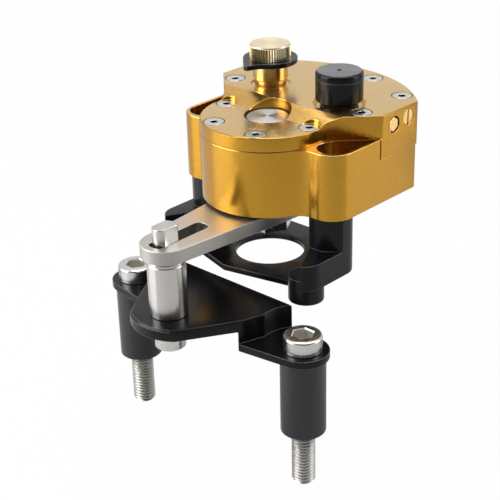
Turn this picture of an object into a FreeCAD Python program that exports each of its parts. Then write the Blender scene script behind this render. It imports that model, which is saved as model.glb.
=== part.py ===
import FreeCAD, Part
import Sketcher
import math
import os

# Rotary steering damper for a motorcycle, in millimetres, +Z up.
# The origin is the axis of the vane shaft at the underside of the housing.
# At rest the link arm points along -Y and everything but the valves is symmetric about x = 0.

document = FreeCAD.newDocument("steering_damper")
sheet = document.addObject("Spreadsheet::Sheet", "Sizes")

# Driving dimensions. Heights (names ending in _height) count from the underside of the housing.
driving_sizes = {
    # Housing: a round vane chamber in front, a lobe with a bolt well on each side, a block behind
    "body_radius": 28.5,
    "seam_height": 29,
    "lobe_offset": 6.5,
    "lobe_radius": 9.8,
    "flute_radius": 8,
    "well_radius": 7.2,
    "well_shift": 1.2,
    "well_floor": 10,
    "chamber_wall": 10,
    "chamber_floor": 9,
    "chamber_half_angle": 65,
    "port_radius": 1.2,
    # Cover: a low disc in front, a ramp, a raised block with a skirt behind
    "cover_thickness": 6,
    "cover_rise": 4,
    "ramp_length": 8.9,
    "corner_back": 43.5,
    "body_back": 64,
    "recess_bite": 0.7,
    "skirt_thickness": 2.2,
    "skirt_drop": 9,
    "skirt_front": 19.2,
    "cover_overhang": 0.4,
    "skirt_gap": 0.15,
    "edge_break": 0.4,
    # Cover screws, M4 countersunk
    "screw_radius": 2,
    "screw_head_radius": 3.95,
    "screw_head_rim": 0.15,
    "screw_length": 16,
    "screw_inset": 5.2,
    "screw_pocket_radius": 4.6,
    "screw_side_front": 0.5,
    "screw_front_x": 11.7,
    "screw_flank_inset": 9.7,
    "screw_flank_back": 18,
    "screw_corner_inset": 9.5,
    "screw_corner_back": 45.2,
    "screw_rear_x": 11.8,
    "screw_rear_back": 56,
    "screw_socket": 2.5,
    "socket_depth": 1.4,
    # Vane rotor and its bearings
    "shaft_radius": 8,
    "journal_radius": 9,
    "hub_radius": 11,
    "shaft_top_drop": 0.5,
    "vane_width": 7,
    "bush_wall": 2,
    "bush_length": 3.7,
    "lower_bush_length": 4.6,
    "seal_length": 3.6,
    "seal_step": 0.5,
    "top_seal_drop": 1,
    "opening_radius": 9.9,
    "ring_radius": 0.7,
    # Link arm and its nut
    "arm_gap": 1.2,
    "arm_thickness": 6,
    "arm_hub_radius": 16.3,
    "arm_nose_radius": 10.3,
    "pin_reach": 62,
    "slot_half_width": 3.6,
    "slot_overrun": 6.8,
    "slot_travel": 22.4,
    "slot_corner": 2.5,
    "neck_radius": 7,
    "neck_flats": 11,
    "nut_thread_radius": 5,
    "nut_thread_overrun": 1.5,
    "nut_thread_chamfer": 0.6,
    "nut_across_flats": 17,
    "nut_height": 6.5,
    "washer_radius": 9.5,
    "washer_thickness": 1.6,
    # Tower: pin, post and the bolt under it
    "pin_radius": 5.4,
    "pin_top": 5.8,
    "pin_shank_radius": 4,
    "pin_shank_length": 14.6,
    "post_radius": 8,
    "post_height": 25.5,
    "post_gap": 0.5,
    "post_web": 1.5,
    "post_groove_depth": 0.3,
    "post_groove_drop": 2,
    "tower_bolt_radius": 4,
    "tower_bolt_head_radius": 6.5,
    "tower_bolt_head_height": 8,
    "tower_bolt_grip": 8.2,
    "tower_bolt_socket": 6,
    "tower_washer_brim": 1,
    "tower_washer_thickness": 2,
    # Frame bracket: tongue, two webs, two ears. Ahead and behind count from the pin
    "tongue_thickness": 5.1,
    "tongue_tip_ahead": 14.5,
    "nose_ahead": 10,
    "nose_half_width": 13,
    "shoulder_x": 27,
    "shoulder_behind": 12.2,
    "pocket_radius": 18.7,
    "pocket_behind": 23.6,
    "web_inner_x": 14,
    "bracket_depth": 13.8,
    "ear_thickness": 3.4,
    "ear_radius": 11,
    "ear_lap": 2,
    "frame_screw_x": 49.3,
    "frame_screw_behind": 26.6,
    "frame_screw_radius": 5,
    "frame_screw_shank_radius": 4.5,
    "frame_screw_head_radius": 8,
    "frame_screw_head_height": 7,
    "frame_screw_socket": 8,
    "frame_screw_reach": 63.4,
    "spacer_radius": 9.5,
    "spacer_length": 34.7,
    "bracket_edge": 0.8,
    # Clamp bracket under the housing: plate, two blocks, posts and legs
    "plate_drop": 29.6,
    "plate_thickness": 2.7,
    "plate_nose": 25.1,
    "plate_nose_shift": 4.2,
    "plate_rear": 28,
    "plate_rear_half_width": 20,
    "wing_undercut": 6,
    "block_radius": 8.6,
    "block_height": 11.5,
    "block_corner_shift": 4.2,
    "post_drop": 14,
    "post_front": 9,
    "post_front_inner": 5,
    "post_front_outer": 1.5,
    "post_flank_front": 3.6,
    "leg_radius": 7.5,
    "leg_front": 16.6,
    "leg_shoulder": 21.8,
    "leg_bottom": 32.9,
    "leg_thread_radius": 4,
    "leg_thread_depth": 9.6,
    "stem_hole_radius": 15,
    "mount_bolt_radius": 3,
    "mount_bolt_head_radius": 5,
    "mount_bolt_head_height": 6,
    "mount_bolt_length": 22,
    "mount_bolt_socket": 5,
    # Damping adjuster on the left of the cover, reservoir on the right
    "knob_x": 19.2,
    "knob_back": 23.3,
    "knob_radius": 8.95,
    "knob_rise": 17.8,
    "knob_height": 6,
    "knob_roof": 1.5,
    "knob_spigot_radius": 5,
    "lever_radius": 11.9,
    "lever_tip": 17,
    "lever_thickness": 2.2,
    "collar_radius": 7.7,
    "collar_rise": 9.3,
    "collar_shoulder_rise": 2.8,
    "collar_neck_radius": 6.9,
    "collar_spigot_radius": 5,
    "collar_seat_radius": 8.7,
    "collar_seat_depth": 0.8,
    "needle_radius": 2.5,
    "needle_tip_drop": 8,
    "needle_bore_radius": 3,
    "detent_radius": 1,
    "detent_reach": 4.6,
    "detent_depth": 5.2,
    "detent_show": 0.1,
    "detent_spring_radius": 0.72,
    "detent_spring_wire": 0.22,
    "insert_lift": 1,
    "insert_groove_lift": 5,
    "collar_ring_radius": 0.33,
    "cap_ring_radius": 0.38,
    "piston_ring_radius": 0.4,
    "groove_play": 0.04,
    "cap_x": 20.5,
    "cap_back": 22,
    "cap_radius": 10.1,
    "cap_rise": 14,
    "cap_lift": 1,
    "cap_chamfer": 0.9,
    "cap_roof": 3,
    "cap_dimple_depth": 1.5,
    "cap_line_drop": 3.4,
    "cap_line_width": 0.3,
    "cap_line_depth": 0.25,
    "cap_spigot_radius": 8,
    "cap_seat_radius": 11.3,
    "cap_seat_floor_radius": 9.6,
    "cap_seat_depth": 1.5,
    "cylinder_radius": 6.5,
    "cylinder_floor": 13,
    "piston_drop": 10,
    "piston_height": 6,
    "piston_floor": 1.5,
    "spring_radius": 4.2,
    "spring_wire": 0.6,
    "spring_room": 0.4,
    "spring_turns": 7,
    # Side adjusters and plugs in the flanks of the cover
    "side_screw_back": 37.4,
    "side_screw_drop": 5.1,
    "side_screw_radius": 3.4,
    "side_screw_length": 6,
    "side_needle_radius": 1.5,
    "side_needle_length": 6,
    "slot_width": 0.9,
    "slot_depth": 1.2,
    "plug_back": 27.6,
    "plug_drop": 5.8,
    "plug_pocket_radius": 3.6,
    "plug_pocket_depth": 2,
    "plug_across_flats": 5.6,
    "plug_shank_radius": 2.5,
    "plug_shank_length": 7,
    # Fits between pieces
    "running_gap": 0.03,
    "sliding_gap": 0.05,
    "thread_gap": 0.05,
    "bolt_gap": 0.25,
    "face_gap": 0.3,
    "seat_gap": 0.1,
    "bore_run": 1,
}

for row, (name, number) in enumerate(driving_sizes.items(), start=1):
    sheet.set(f"A{row}", name)
    sheet.set(f"B{row}", str(number))
    sheet.setAlias(f"B{row}", name)
document.recompute()


class Size:
    """A number together with the sheet expression that gives it."""

    def __init__(self, value, text):
        self.value = float(value)
        self.text = text

    def __add__(self, other):
        other = as_size(other)
        return Size(self.value + other.value, f"({self.text} + {other.text})")

    def __sub__(self, other):
        other = as_size(other)
        return Size(self.value - other.value, f"({self.text} - {other.text})")

    def __rsub__(self, other):
        return as_size(other) - self

    def __mul__(self, other):
        other = as_size(other)
        return Size(self.value * other.value, f"({self.text} * {other.text})")

    def __truediv__(self, other):
        other = as_size(other)
        return Size(self.value / other.value, f"({self.text} / {other.text})")

    def __neg__(self):
        return self * -1

    __radd__ = __add__
    __rmul__ = __mul__


def as_size(number):
    """A plain number as a Size; a Size stays as it is."""
    if isinstance(number, Size):
        return number
    return Size(number, f"({float(number)})")


def root(square):
    return Size(math.sqrt(square.value), f"sqrt({square.text})")


def sine(angle):
    return Size(math.sin(math.radians(angle.value)), f"sin({angle.text} * 1 deg)")


def cosine(angle):
    return Size(math.cos(math.radians(angle.value)), f"cos({angle.text} * 1 deg)")


class Sheet:
    """The sheet's cells as attributes, each a Size."""


s = Sheet()
for name, number in driving_sizes.items():
    setattr(s, name, Size(number, f"Sizes.{name}"))

ZERO = as_size(0)

# Sizes that follow from the driving ones
s.lobe_reach = s.body_radius + s.lobe_offset
s.recess_radius = s.lobe_offset + s.recess_bite
s.cover_half_width = s.lobe_reach + s.lobe_radius + s.cover_overhang
s.chamber_radius = s.body_radius - s.chamber_wall
s.screw_circle = s.body_radius - s.screw_inset
s.slot_outer = s.pin_reach + s.slot_overrun
s.slot_inner = s.pin_reach - s.slot_travel
s.tongue_tip = s.pin_reach + s.tongue_tip_ahead
s.nose_front = s.pin_reach + s.nose_ahead
s.shoulder_front = s.pin_reach - s.shoulder_behind
s.pocket_front = s.pin_reach - s.pocket_behind
s.frame_screw_front = s.pin_reach - s.frame_screw_behind
low_top = s.seam_height + s.cover_thickness
high_top = low_top + s.cover_rise
s.knob_top = high_top + s.knob_rise
s.collar_top = high_top + s.collar_rise
s.collar_shoulder = high_top + s.collar_shoulder_rise
s.needle_tip_height = s.seam_height - s.needle_tip_drop
s.cap_top = high_top + s.cap_rise
s.cap_bottom = high_top + s.cap_lift
s.piston_bottom = s.seam_height - s.piston_drop
s.side_screw_height = high_top - s.side_screw_drop
s.plug_height = high_top - s.plug_drop

# How far a cut runs past the face it opens
PAST = as_size(1)

nodes = {}
cuts = []


# Sketches and features

def origin_plane(body, role):
    return [feature for feature in body.Origin.OriginFeatures if feature.Role == role][0]


def new_sketch(body, name, role, offset):
    """A sketch on one of the body's origin planes, moved along that plane's normal."""
    sketch = body.newObject("Sketcher::SketchObject", name)
    sketch.AttachmentSupport = [(origin_plane(body, role), "")]
    sketch.MapMode = "FlatFace"
    sketch.setExpression("AttachmentOffset.Base.z", as_size(offset).text)
    return sketch


def bind(sketch, constraint, size):
    index = sketch.addConstraint(constraint)
    sketch.setExpression(f"Constraints[{index}]", size.text)


def pin_point(sketch, edge, end, x, y):
    """Hold one point of a sketch edge at x, y from the sketch's origin."""
    bind(sketch, Sketcher.Constraint("DistanceX", -1, 1, edge, end, x.value), x)
    bind(sketch, Sketcher.Constraint("DistanceY", -1, 1, edge, end, y.value), y)


def arc_between(start, end, radius, side):
    """The shorter arc from start to end with its centre on the given side of the way."""
    chord = end - start
    rise = math.sqrt(max(radius ** 2 - (chord.Length / 2) ** 2, 0))
    normal = FreeCAD.Vector(-chord.y, chord.x, 0).normalize()
    if side == "right":
        normal = normal * -1
    centre = (start + end) * 0.5 + normal * rise
    first, last = (start, end) if side == "left" else (end, start)
    first_angle = math.atan2(first.y - centre.y, first.x - centre.x)
    last_angle = math.atan2(last.y - centre.y, last.x - centre.x)
    circle = Part.Circle(centre, FreeCAD.Vector(0, 0, 1), radius)
    return Part.ArcOfCircle(circle, first_angle, last_angle)


def draw_outline(sketch, corners):
    """A closed outline. A corner is (x, y), or (x, y, side, radius) where an arc leaves it."""
    corners = [tuple(as_size(v) if not isinstance(v, str) else v for v in corner) for corner in corners]
    points = [FreeCAD.Vector(corner[0].value, corner[1].value, 0) for corner in corners]
    edges = []
    for index, corner in enumerate(corners):
        start = points[index]
        end = points[(index + 1) % len(points)]
        if len(corner) == 2:
            edge = sketch.addGeometry(Part.LineSegment(start, end))
            edges.append((edge, 1, 2))
        else:
            side, radius = corner[2:]
            edge = sketch.addGeometry(arc_between(start, end, radius.value, side))
            bind(sketch, Sketcher.Constraint("Radius", edge, radius.value), radius)
            edges.append((edge, 1, 2) if side == "left" else (edge, 2, 1))
    for index, (edge, start_end, _) in enumerate(edges):
        before, _, before_end = edges[index - 1]
        sketch.addConstraint(Sketcher.Constraint("Coincident", before, before_end, edge, start_end))
        pin_point(sketch, edge, start_end, corners[index][0], corners[index][1])


def draw_circle(sketch, x, y, radius):
    x, y, radius = as_size(x), as_size(y), as_size(radius)
    centre = FreeCAD.Vector(x.value, y.value, 0)
    edge = sketch.addGeometry(Part.Circle(centre, FreeCAD.Vector(0, 0, 1), radius.value))
    bind(sketch, Sketcher.Constraint("Radius", edge, radius.value), radius)
    pin_point(sketch, edge, 3, x, y)


def new_body(label, x=ZERO, y=ZERO, z=ZERO):
    """A body whose own origin stands at x, y, z of the assembly."""
    body = document.addObject("PartDesign::Body", label)
    body.Label = label
    for axis, offset in (("x", x), ("y", y), ("z", z)):
        body.setExpression(f"Placement.Base.{axis}", as_size(offset).text)
    return body


def add_part(body):
    """Enter a finished object as one of the assembly's pieces."""
    nodes[body.Label] = body
    return body


def extrude(body, kind, name, outlines, circles, low, high, role="XY_Plane"):
    """Pad or pocket the outlines and circles between two offsets along the plane's normal."""
    low, high = as_size(low), as_size(high)
    base = low if kind == "Pad" else high
    sketch = new_sketch(body, name + "_sketch", role, base)
    for outline in outlines:
        draw_outline(sketch, outline)
    for circle in circles:
        draw_circle(sketch, *circle)
    feature = body.newObject("PartDesign::" + kind, name)
    feature.Profile = sketch
    feature.setExpression("Length", (high - low).text)
    if kind == "Pocket":
        cuts.append(feature)
    return feature


def pad(body, name, outlines, low, high, role="XY_Plane"):
    return extrude(body, "Pad", name, outlines, [], low, high, role)


def pocket(body, name, outlines, low, high, role="XY_Plane"):
    return extrude(body, "Pocket", name, outlines, [], low, high, role)


def round_pad(body, name, circles, low, high, role="XY_Plane"):
    return extrude(body, "Pad", name, [], circles, low, high, role)


def drill(body, name, circles, low, high, role="XY_Plane"):
    return extrude(body, "Pocket", name, [], circles, low, high, role)


def turn(body, kind, name, profile):
    """Revolve a profile of (radius, height) corners round the body's own Z axis."""
    sketch = new_sketch(body, name + "_sketch", "XZ_Plane", ZERO)
    draw_outline(sketch, profile)
    feature = body.newObject("PartDesign::" + kind, name)
    feature.Profile = sketch
    feature.ReferenceAxis = (sketch, ["V_Axis"])
    feature.Angle = 360
    if kind == "Groove":
        cuts.append(feature)
    return feature


def turned_part(label, profile, x=ZERO, y=ZERO, z=ZERO):
    """A piece made on the lathe from one closed profile."""
    body = new_body(label, x, y, z)
    turn(body, "Revolution", label + "_profile", profile)
    return body


def hexagon(across_flats, x=ZERO, y=ZERO):
    """A hexagon outline with two corners on its x axis."""
    corner = as_size(across_flats) / math.sqrt(3)
    half_flat = as_size(across_flats) / 2
    return [
        (x + corner, y + ZERO),
        (x + corner / 2, y + half_flat),
        (x - corner / 2, y + half_flat),
        (x - corner, y + ZERO),
        (x - corner / 2, y - half_flat),
        (x + corner / 2, y - half_flat),
    ]


def mirrored(outline):
    """The outline on the other side of x = 0, walked so that its arcs keep their sides."""
    flipped = []
    count = len(outline)
    for index in range(count):
        corner = outline[-index % count]
        before = outline[(-index - 1) % count]
        flipped.append((-as_size(corner[0]), corner[1]) + tuple(before[2:]))
    return flipped


def group(label, piece, places):
    """Copies of one piece at several places, kept together as one node of separate solids."""
    links = []
    for x, y, z in places:
        link = document.addObject("App::Link", label + "_place")
        link.LinkedObject = piece
        link.LinkTransform = True
        for axis, offset in (("x", x), ("y", y), ("z", z)):
            link.setExpression(f"LinkPlacement.Base.{axis}", as_size(offset).text)
        links.append(link)
    compound = document.addObject("Part::Compound", label)
    compound.Label = label
    compound.Links = links
    return compound


def edges_where(feature, test):
    """Names of the edges of a feature whose shape passes the test."""
    return [f"Edge{i}" for i, edge in enumerate(feature.Shape.Edges, start=1) if test(edge)]


def dress(body, kind, name, test, size):
    """Chamfer or fillet the edges of the body's tip that pass the test."""
    document.recompute()
    base = body.Tip
    feature = body.newObject("PartDesign::" + kind, name)
    feature.Base = (base, edges_where(base, test))
    feature.setExpression("Size" if kind == "Chamfer" else "Radius", size.text)
    return feature


def flat_at(height):
    """A test for edges that lie wholly at one height."""
    return lambda edge: all(abs(z - height.value) < 1e-4 for z in (edge.BoundBox.ZMin, edge.BoundBox.ZMax))


# Shared outlines and heights

skirt_bottom = s.seam_height - s.skirt_drop
rear_sag = s.body_back - s.corner_back
rear_radius = (s.cover_half_width * s.cover_half_width + rear_sag * rear_sag) / (rear_sag * 2)
rear_centre = s.body_back - rear_radius
recess_turn = s.recess_radius / math.sqrt(2)
recess_corner = s.cover_half_width - s.lobe_reach + s.recess_radius * math.sqrt(2)

arm_top = -s.arm_gap
arm_bottom = arm_top - s.arm_thickness
post_top = arm_bottom - s.post_gap
tongue_top = post_top - s.post_height
tongue_bottom = tongue_top - s.tongue_thickness
bracket_bottom = tongue_top - s.bracket_depth
ear_top = bracket_bottom + s.ear_thickness
spacer_bottom = bracket_bottom - s.spacer_length
block_top = -s.post_drop
block_bottom = block_top - s.block_height
plate_bottom = -s.plate_drop
plate_top = plate_bottom + s.plate_thickness

screw_front_y = -root(s.screw_circle * s.screw_circle - s.screw_front_x * s.screw_front_x)
low_screws = [(side * s.screw_circle, -s.screw_side_front) for side in (-1, 1)]
low_screws += [(side * s.screw_front_x, screw_front_y) for side in (-1, 1)]
high_screws = []
for side in (-1, 1):
    high_screws.append((side * (s.cover_half_width - s.screw_flank_inset), s.screw_flank_back))
    high_screws.append((side * (s.cover_half_width - s.screw_corner_inset), s.screw_corner_back))
    high_screws.append((side * s.screw_rear_x, s.screw_rear_back))


def rear_corner(inset):
    """Where the flank meets the rear arc once both are moved inwards by inset."""
    width = s.cover_half_width - inset
    radius = rear_radius - inset
    return width, rear_centre + root(radius * radius - width * width), radius


def front_outline():
    """Front of the housing from the left flank round lobe, flute and chamber to the right flank."""
    reach, lobe, flute, body = s.lobe_reach, s.lobe_radius, s.flute_radius, s.body_radius
    to_body = body + flute
    to_lobe = lobe + flute
    flute_x = (to_body * to_body - to_lobe * to_lobe + reach * reach) / (reach * 2)
    flute_y = -root(to_body * to_body - flute_x * flute_x)
    on_body = (flute_x * body / to_body, flute_y * body / to_body)
    on_lobe = (reach + (flute_x - reach) * lobe / to_lobe, flute_y * lobe / to_lobe)
    return [
        (-(reach + lobe), ZERO, "left", lobe),
        (-on_lobe[0], on_lobe[1], "right", flute),
        (-on_body[0], on_body[1], "left", body),
        (on_body[0], on_body[1], "right", flute),
        (on_lobe[0], on_lobe[1], "left", lobe),
        (reach + lobe, ZERO),
    ]


# Housing: machined block with the vane chamber, the bolt wells and the valve bores

def chamber_outline():
    """Hub bore with a wedge in front of it, in which the vane swings."""
    angle = s.chamber_half_angle
    hub = s.hub_radius + s.face_gap
    outer = s.chamber_radius
    return [
        (-(outer * sine(angle)), -(outer * cosine(angle)), "left", outer),
        (outer * sine(angle), -(outer * cosine(angle))),
        (hub * sine(angle), -(hub * cosine(angle)), "left", hub),
        (ZERO, hub, "left", hub),
        (-(hub * sine(angle)), -(hub * cosine(angle))),
    ]


def well_outline():
    """Round well over a mount bolt, opened towards the rear outer corner of the lobe."""
    centre = s.lobe_reach + s.well_shift
    half = s.well_radius / math.sqrt(2)
    right = centre + s.well_radius
    wall_gap = (s.recess_radius * math.sqrt(2) + s.well_shift) / 2
    wall_x = centre - wall_gap
    wall_y = wall_gap
    back = right - wall_x + wall_y
    return [
        (right, ZERO),
        (right, back),
        (wall_x, wall_y),
        (centre - half, half, "left", s.well_radius),
        (centre - half, -half, "left", s.well_radius),
    ]


def make_housing():
    housing = new_body("housing")
    front = front_outline()
    flank = s.lobe_reach + s.lobe_radius
    width, corner, radius = rear_corner(s.cover_half_width - flank)
    pad(housing, "lower_block", [front + [(width, corner, "left", radius), (-width, corner)]],
        ZERO, skirt_bottom)
    width, corner, radius = rear_corner(s.skirt_thickness + s.skirt_gap)
    rebate_front = s.skirt_front - s.skirt_gap
    step = [(flank, rebate_front), (width, rebate_front), (width, corner, "left", radius),
            (-width, corner), (-width, rebate_front), (-flank, rebate_front)]
    pad(housing, "upper_block", [front + step], skirt_bottom - s.skirt_gap, s.seam_height)
    pocket(housing, "vane_chamber", [chamber_outline()], s.chamber_floor, s.seam_height)
    bush_bore = s.shaft_radius + s.bush_wall + s.thread_gap
    drill(housing, "lower_bush_bore", [(ZERO, ZERO, bush_bore)], ZERO, s.chamber_floor)
    drill(housing, "shaft_seal_bore", [(ZERO, ZERO, bush_bore + s.seal_step)],
          ZERO, s.seal_length + s.face_gap)
    groove_inner = s.chamber_radius + s.edge_break
    groove_outer = groove_inner + s.ring_radius * 2 + s.edge_break
    groove_bottom = s.seam_height - s.ring_radius * 2 - s.sliding_gap
    turn(housing, "Groove", "seal_groove", [
        (groove_inner, groove_bottom), (groove_outer, groove_bottom),
        (groove_outer, s.seam_height + PAST), (groove_inner, s.seam_height + PAST)])
    pocket(housing, "bolt_wells", [well_outline(), mirrored(well_outline())],
           s.well_floor, s.seam_height)
    bolt_holes = [(side * s.lobe_reach, ZERO, s.mount_bolt_radius + s.bolt_gap) for side in (-1, 1)]
    drill(housing, "mount_bolt_holes", bolt_holes, ZERO, s.well_floor)
    thread_radius = s.screw_radius + s.thread_gap
    screw_holes = [(x, y, thread_radius) for x, y in low_screws + high_screws]
    drill(housing, "cover_screw_holes", screw_holes,
          low_top - s.screw_length - s.bore_run, s.seam_height)
    drill(housing, "needle_bore", [(-s.knob_x, s.knob_back, s.needle_bore_radius)],
          s.needle_tip_height - s.bore_run, s.seam_height)
    drill(housing, "needle_seat", [(-s.knob_x, s.knob_back, s.port_radius)],
          s.cylinder_floor, s.needle_tip_height)
    drill(housing, "compensator_cylinder", [(s.cap_x, s.cap_back, s.cylinder_radius)],
          s.cylinder_floor, s.seam_height)
    drill(housing, "cross_port", [(s.knob_back, s.cylinder_floor + s.port_radius * 2, s.port_radius)],
          -s.knob_x, s.cap_x, "YZ_Plane")
    dress(housing, "Chamfer", "bottom_edge",
          lambda edge: flat_at(ZERO)(edge) and edge.BoundBox.DiagonalLength > s.lobe_radius.value * 2.6
          or flat_at(ZERO)(edge) and edge.BoundBox.YMin > s.body_radius.value, s.edge_break)
    return add_part(housing)


# Top cover: low round disc, ramp, raised block with a skirt, and the seats of the valves

def make_cover():
    cover = new_body("top_cover")
    width, corner, radius = rear_corner(ZERO)
    recess_x = s.lobe_reach - s.recess_radius
    recess_y = -root(s.body_radius * s.body_radius - recess_x * recess_x)
    turn_x = s.lobe_reach - recess_turn
    pad(cover, "cover_block", [[
        (width, corner, "left", radius),
        (-width, corner),
        (-width, recess_corner),
        (-turn_x, recess_turn, "right", s.recess_radius),
        (-recess_x, ZERO),
        (-recess_x, recess_y, "left", s.body_radius),
        (recess_x, recess_y),
        (recess_x, ZERO, "right", s.recess_radius),
        (turn_x, recess_turn),
        (width, recess_corner),
    ]], s.seam_height, high_top)
    inner_width, inner_corner, inner_radius = rear_corner(s.skirt_thickness)
    pad(cover, "skirt", [[
        (width, s.skirt_front),
        (width, corner, "left", radius),
        (-width, corner),
        (-width, s.skirt_front),
        (-inner_width, s.skirt_front),
        (-inner_width, inner_corner, "right", inner_radius),
        (inner_width, inner_corner),
        (inner_width, s.skirt_front),
    ]], skirt_bottom, s.seam_height)
    front = -(s.body_radius + PAST)
    pocket(cover, "ramp", [[
        (front, low_top), (ZERO, low_top), (s.ramp_length, high_top),
        (s.ramp_length, high_top + PAST), (front, high_top + PAST),
    ]], -s.cover_half_width, s.cover_half_width, "YZ_Plane")
    bush_top = s.seam_height + s.bush_length + s.face_gap
    drill(cover, "shaft_opening", [(ZERO, ZERO, s.opening_radius)], bush_top, high_top)
    drill(cover, "upper_bush_bore", [(ZERO, ZERO, s.journal_radius + s.bush_wall + s.thread_gap)],
          s.seam_height, bush_top)
    pockets = [(x, y, s.screw_pocket_radius) for x, y in low_screws[:2]]
    drill(cover, "ramp_screw_pockets", pockets, low_top, high_top)
    drill(cover, "collar_seat", [(-s.knob_x, s.knob_back, s.collar_seat_radius)],
          high_top - s.collar_seat_depth, high_top)
    drill(cover, "collar_bore", [(-s.knob_x, s.knob_back, s.collar_spigot_radius + s.running_gap)],
          s.seam_height, high_top)
    drill(cover, "cap_bore", [(s.cap_x, s.cap_back, s.cap_spigot_radius + s.running_gap)],
          s.seam_height, high_top)
    for side in (-1, 1):
        flank_cut(cover, side, "adjuster_bore", s.side_screw_back, s.side_screw_height,
                  s.side_screw_radius + s.sliding_gap, s.side_screw_length + s.bore_run)
        flank_cut(cover, side, "adjuster_needle_bore", s.side_screw_back, s.side_screw_height,
                  s.side_needle_radius + s.bolt_gap,
                  s.side_screw_length + s.side_needle_length + s.bore_run * 2)
        flank_cut(cover, side, "plug_pocket", s.plug_back, s.plug_height,
                  s.plug_pocket_radius, s.plug_pocket_depth)
        flank_cut(cover, side, "plug_bore", s.plug_back, s.plug_height,
                  s.plug_shank_radius + s.thread_gap,
                  s.plug_pocket_depth + s.plug_shank_length + s.bore_run)
    countersink(cover, "low_screw_holes", low_screws, low_top)
    countersink(cover, "high_screw_holes", high_screws, high_top)
    dress(cover, "Chamfer", "top_edge", on_outer_rim, s.edge_break)
    return add_part(cover)


def on_outer_rim(edge):
    """Top edges along the flanks and the rear, and the lower front edge of the round disc."""
    box = edge.BoundBox
    if flat_at(high_top)(edge):
        return box.YMax > s.corner_back.value - 1e-3 and box.DiagonalLength > s.screw_head_radius.value * 4
    round_front = box.YMin < -s.body_radius.value + 1e-3
    return flat_at(low_top)(edge) and round_front


def flank_cut(cover, side, name, back, height, radius, depth):
    """A round bore into one flank of the cover."""
    low = s.cover_half_width - depth if side > 0 else -s.cover_half_width
    high = s.cover_half_width if side > 0 else depth - s.cover_half_width
    hand = "right_" if side > 0 else "left_"
    drill(cover, hand + name, [(back, height, radius)], low, high, "YZ_Plane")


def countersink(cover, name, places, height):
    """Countersunk clearance holes down through the cover."""
    sketch = new_sketch(cover, name + "_sketch", "XY_Plane", height)
    for x, y in places:
        draw_circle(sketch, x, y, s.screw_radius)
    document.recompute()
    hole = cover.newObject("PartDesign::Hole", name)
    hole.Profile = sketch
    hole.DepthType = "ThroughAll"
    hole.setExpression("Diameter", ((s.screw_radius + s.thread_gap) * 2).text)
    hole.HoleCutType = "Countersink"
    hole.HoleCutCustomValues = True
    hole.HoleCutCountersinkAngle = 90
    head = s.screw_head_radius + s.screw_head_rim + s.thread_gap
    hole.setExpression("HoleCutDiameter", (head * 2).text)
    cuts.append(hole)


# Fasteners of the body

def make_cover_screws():
    head = s.screw_head_radius
    cone_bottom = -(s.screw_head_rim + head - s.screw_radius)
    screw = turned_part("cover_screw_piece", [
        (ZERO, -s.screw_length), (s.screw_radius, -s.screw_length),
        (s.screw_radius, cone_bottom), (head, -s.screw_head_rim), (head, ZERO), (ZERO, ZERO)])
    pocket(screw, "hex_socket", [hexagon(s.screw_socket)], -s.socket_depth, ZERO)
    places = [(x, y, low_top) for x, y in low_screws] + [(x, y, high_top) for x, y in high_screws]
    add_part(group("cover_screws", screw, places))


def socket_screw(label, radius, head_radius, head_height, length, socket, edge, shank=()):
    """A socket-head cap screw with its seat at height 0 and its shank pointing down."""
    screw = turned_part(label, [
        (ZERO, -length), (radius - edge, -length), (radius, edge - length)] + list(shank or [(radius, ZERO)])
        + [(head_radius, ZERO), (head_radius, head_height - edge), (head_radius - edge, head_height),
           (ZERO, head_height)])
    pocket(screw, label + "_socket", [hexagon(socket)], head_height / 2, head_height)
    return screw


def make_mount_bolts():
    bolt = socket_screw("mount_bolt_piece", s.mount_bolt_radius, s.mount_bolt_head_radius,
                        s.mount_bolt_head_height, s.mount_bolt_length, s.mount_bolt_socket,
                        s.edge_break)
    add_part(group("mount_bolts", bolt, [(side * s.lobe_reach, ZERO, s.well_floor) for side in (-1, 1)]))


# Bearings and seals of the vane shaft

def ring_part(label, inner, outer, bottom, top, x=ZERO, y=ZERO):
    """A plain ring of rectangular section."""
    return add_part(turned_part(label, [(inner, bottom), (outer, bottom), (outer, top), (inner, top)], x, y))


def o_ring(label, ring_radius, section_radius, height, x=ZERO, y=ZERO):
    """A rubber ring of round section, turned from four quarter arcs."""
    r = section_radius
    return add_part(turned_part(label, [
        (ring_radius + r, height, "left", r), (ring_radius, height + r, "left", r),
        (ring_radius - r, height, "left", r), (ring_radius, height - r, "left", r)], x, y))


def make_shaft_bearings():
    upper_outer = s.journal_radius + s.bush_wall
    upper_bottom = s.seam_height + s.seat_gap
    upper_top = upper_bottom + s.bush_length
    ring_part("upper_bush", s.journal_radius + s.running_gap, upper_outer, upper_bottom, upper_top)
    ring_part("top_seal", s.journal_radius + s.sliding_gap, s.opening_radius - s.running_gap,
              s.seam_height + s.bush_length + s.face_gap, low_top - s.top_seal_drop)
    ring_part("shaft_seal", s.shaft_radius + s.sliding_gap,
              s.shaft_radius + s.bush_wall + s.seal_step, s.seat_gap, s.seal_length + s.seat_gap)
    bush_bottom = s.chamber_floor - s.lower_bush_length
    ring_part("lower_bush", s.shaft_radius + s.running_gap, s.shaft_radius + s.bush_wall,
              bush_bottom, s.chamber_floor - s.seat_gap)
    groove_middle = s.chamber_radius + s.edge_break * 1.5 + s.ring_radius
    o_ring("chamber_seal", groove_middle, s.ring_radius, s.seam_height - s.ring_radius - s.running_gap)


# Vane rotor: shaft, hub and one vane

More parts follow.
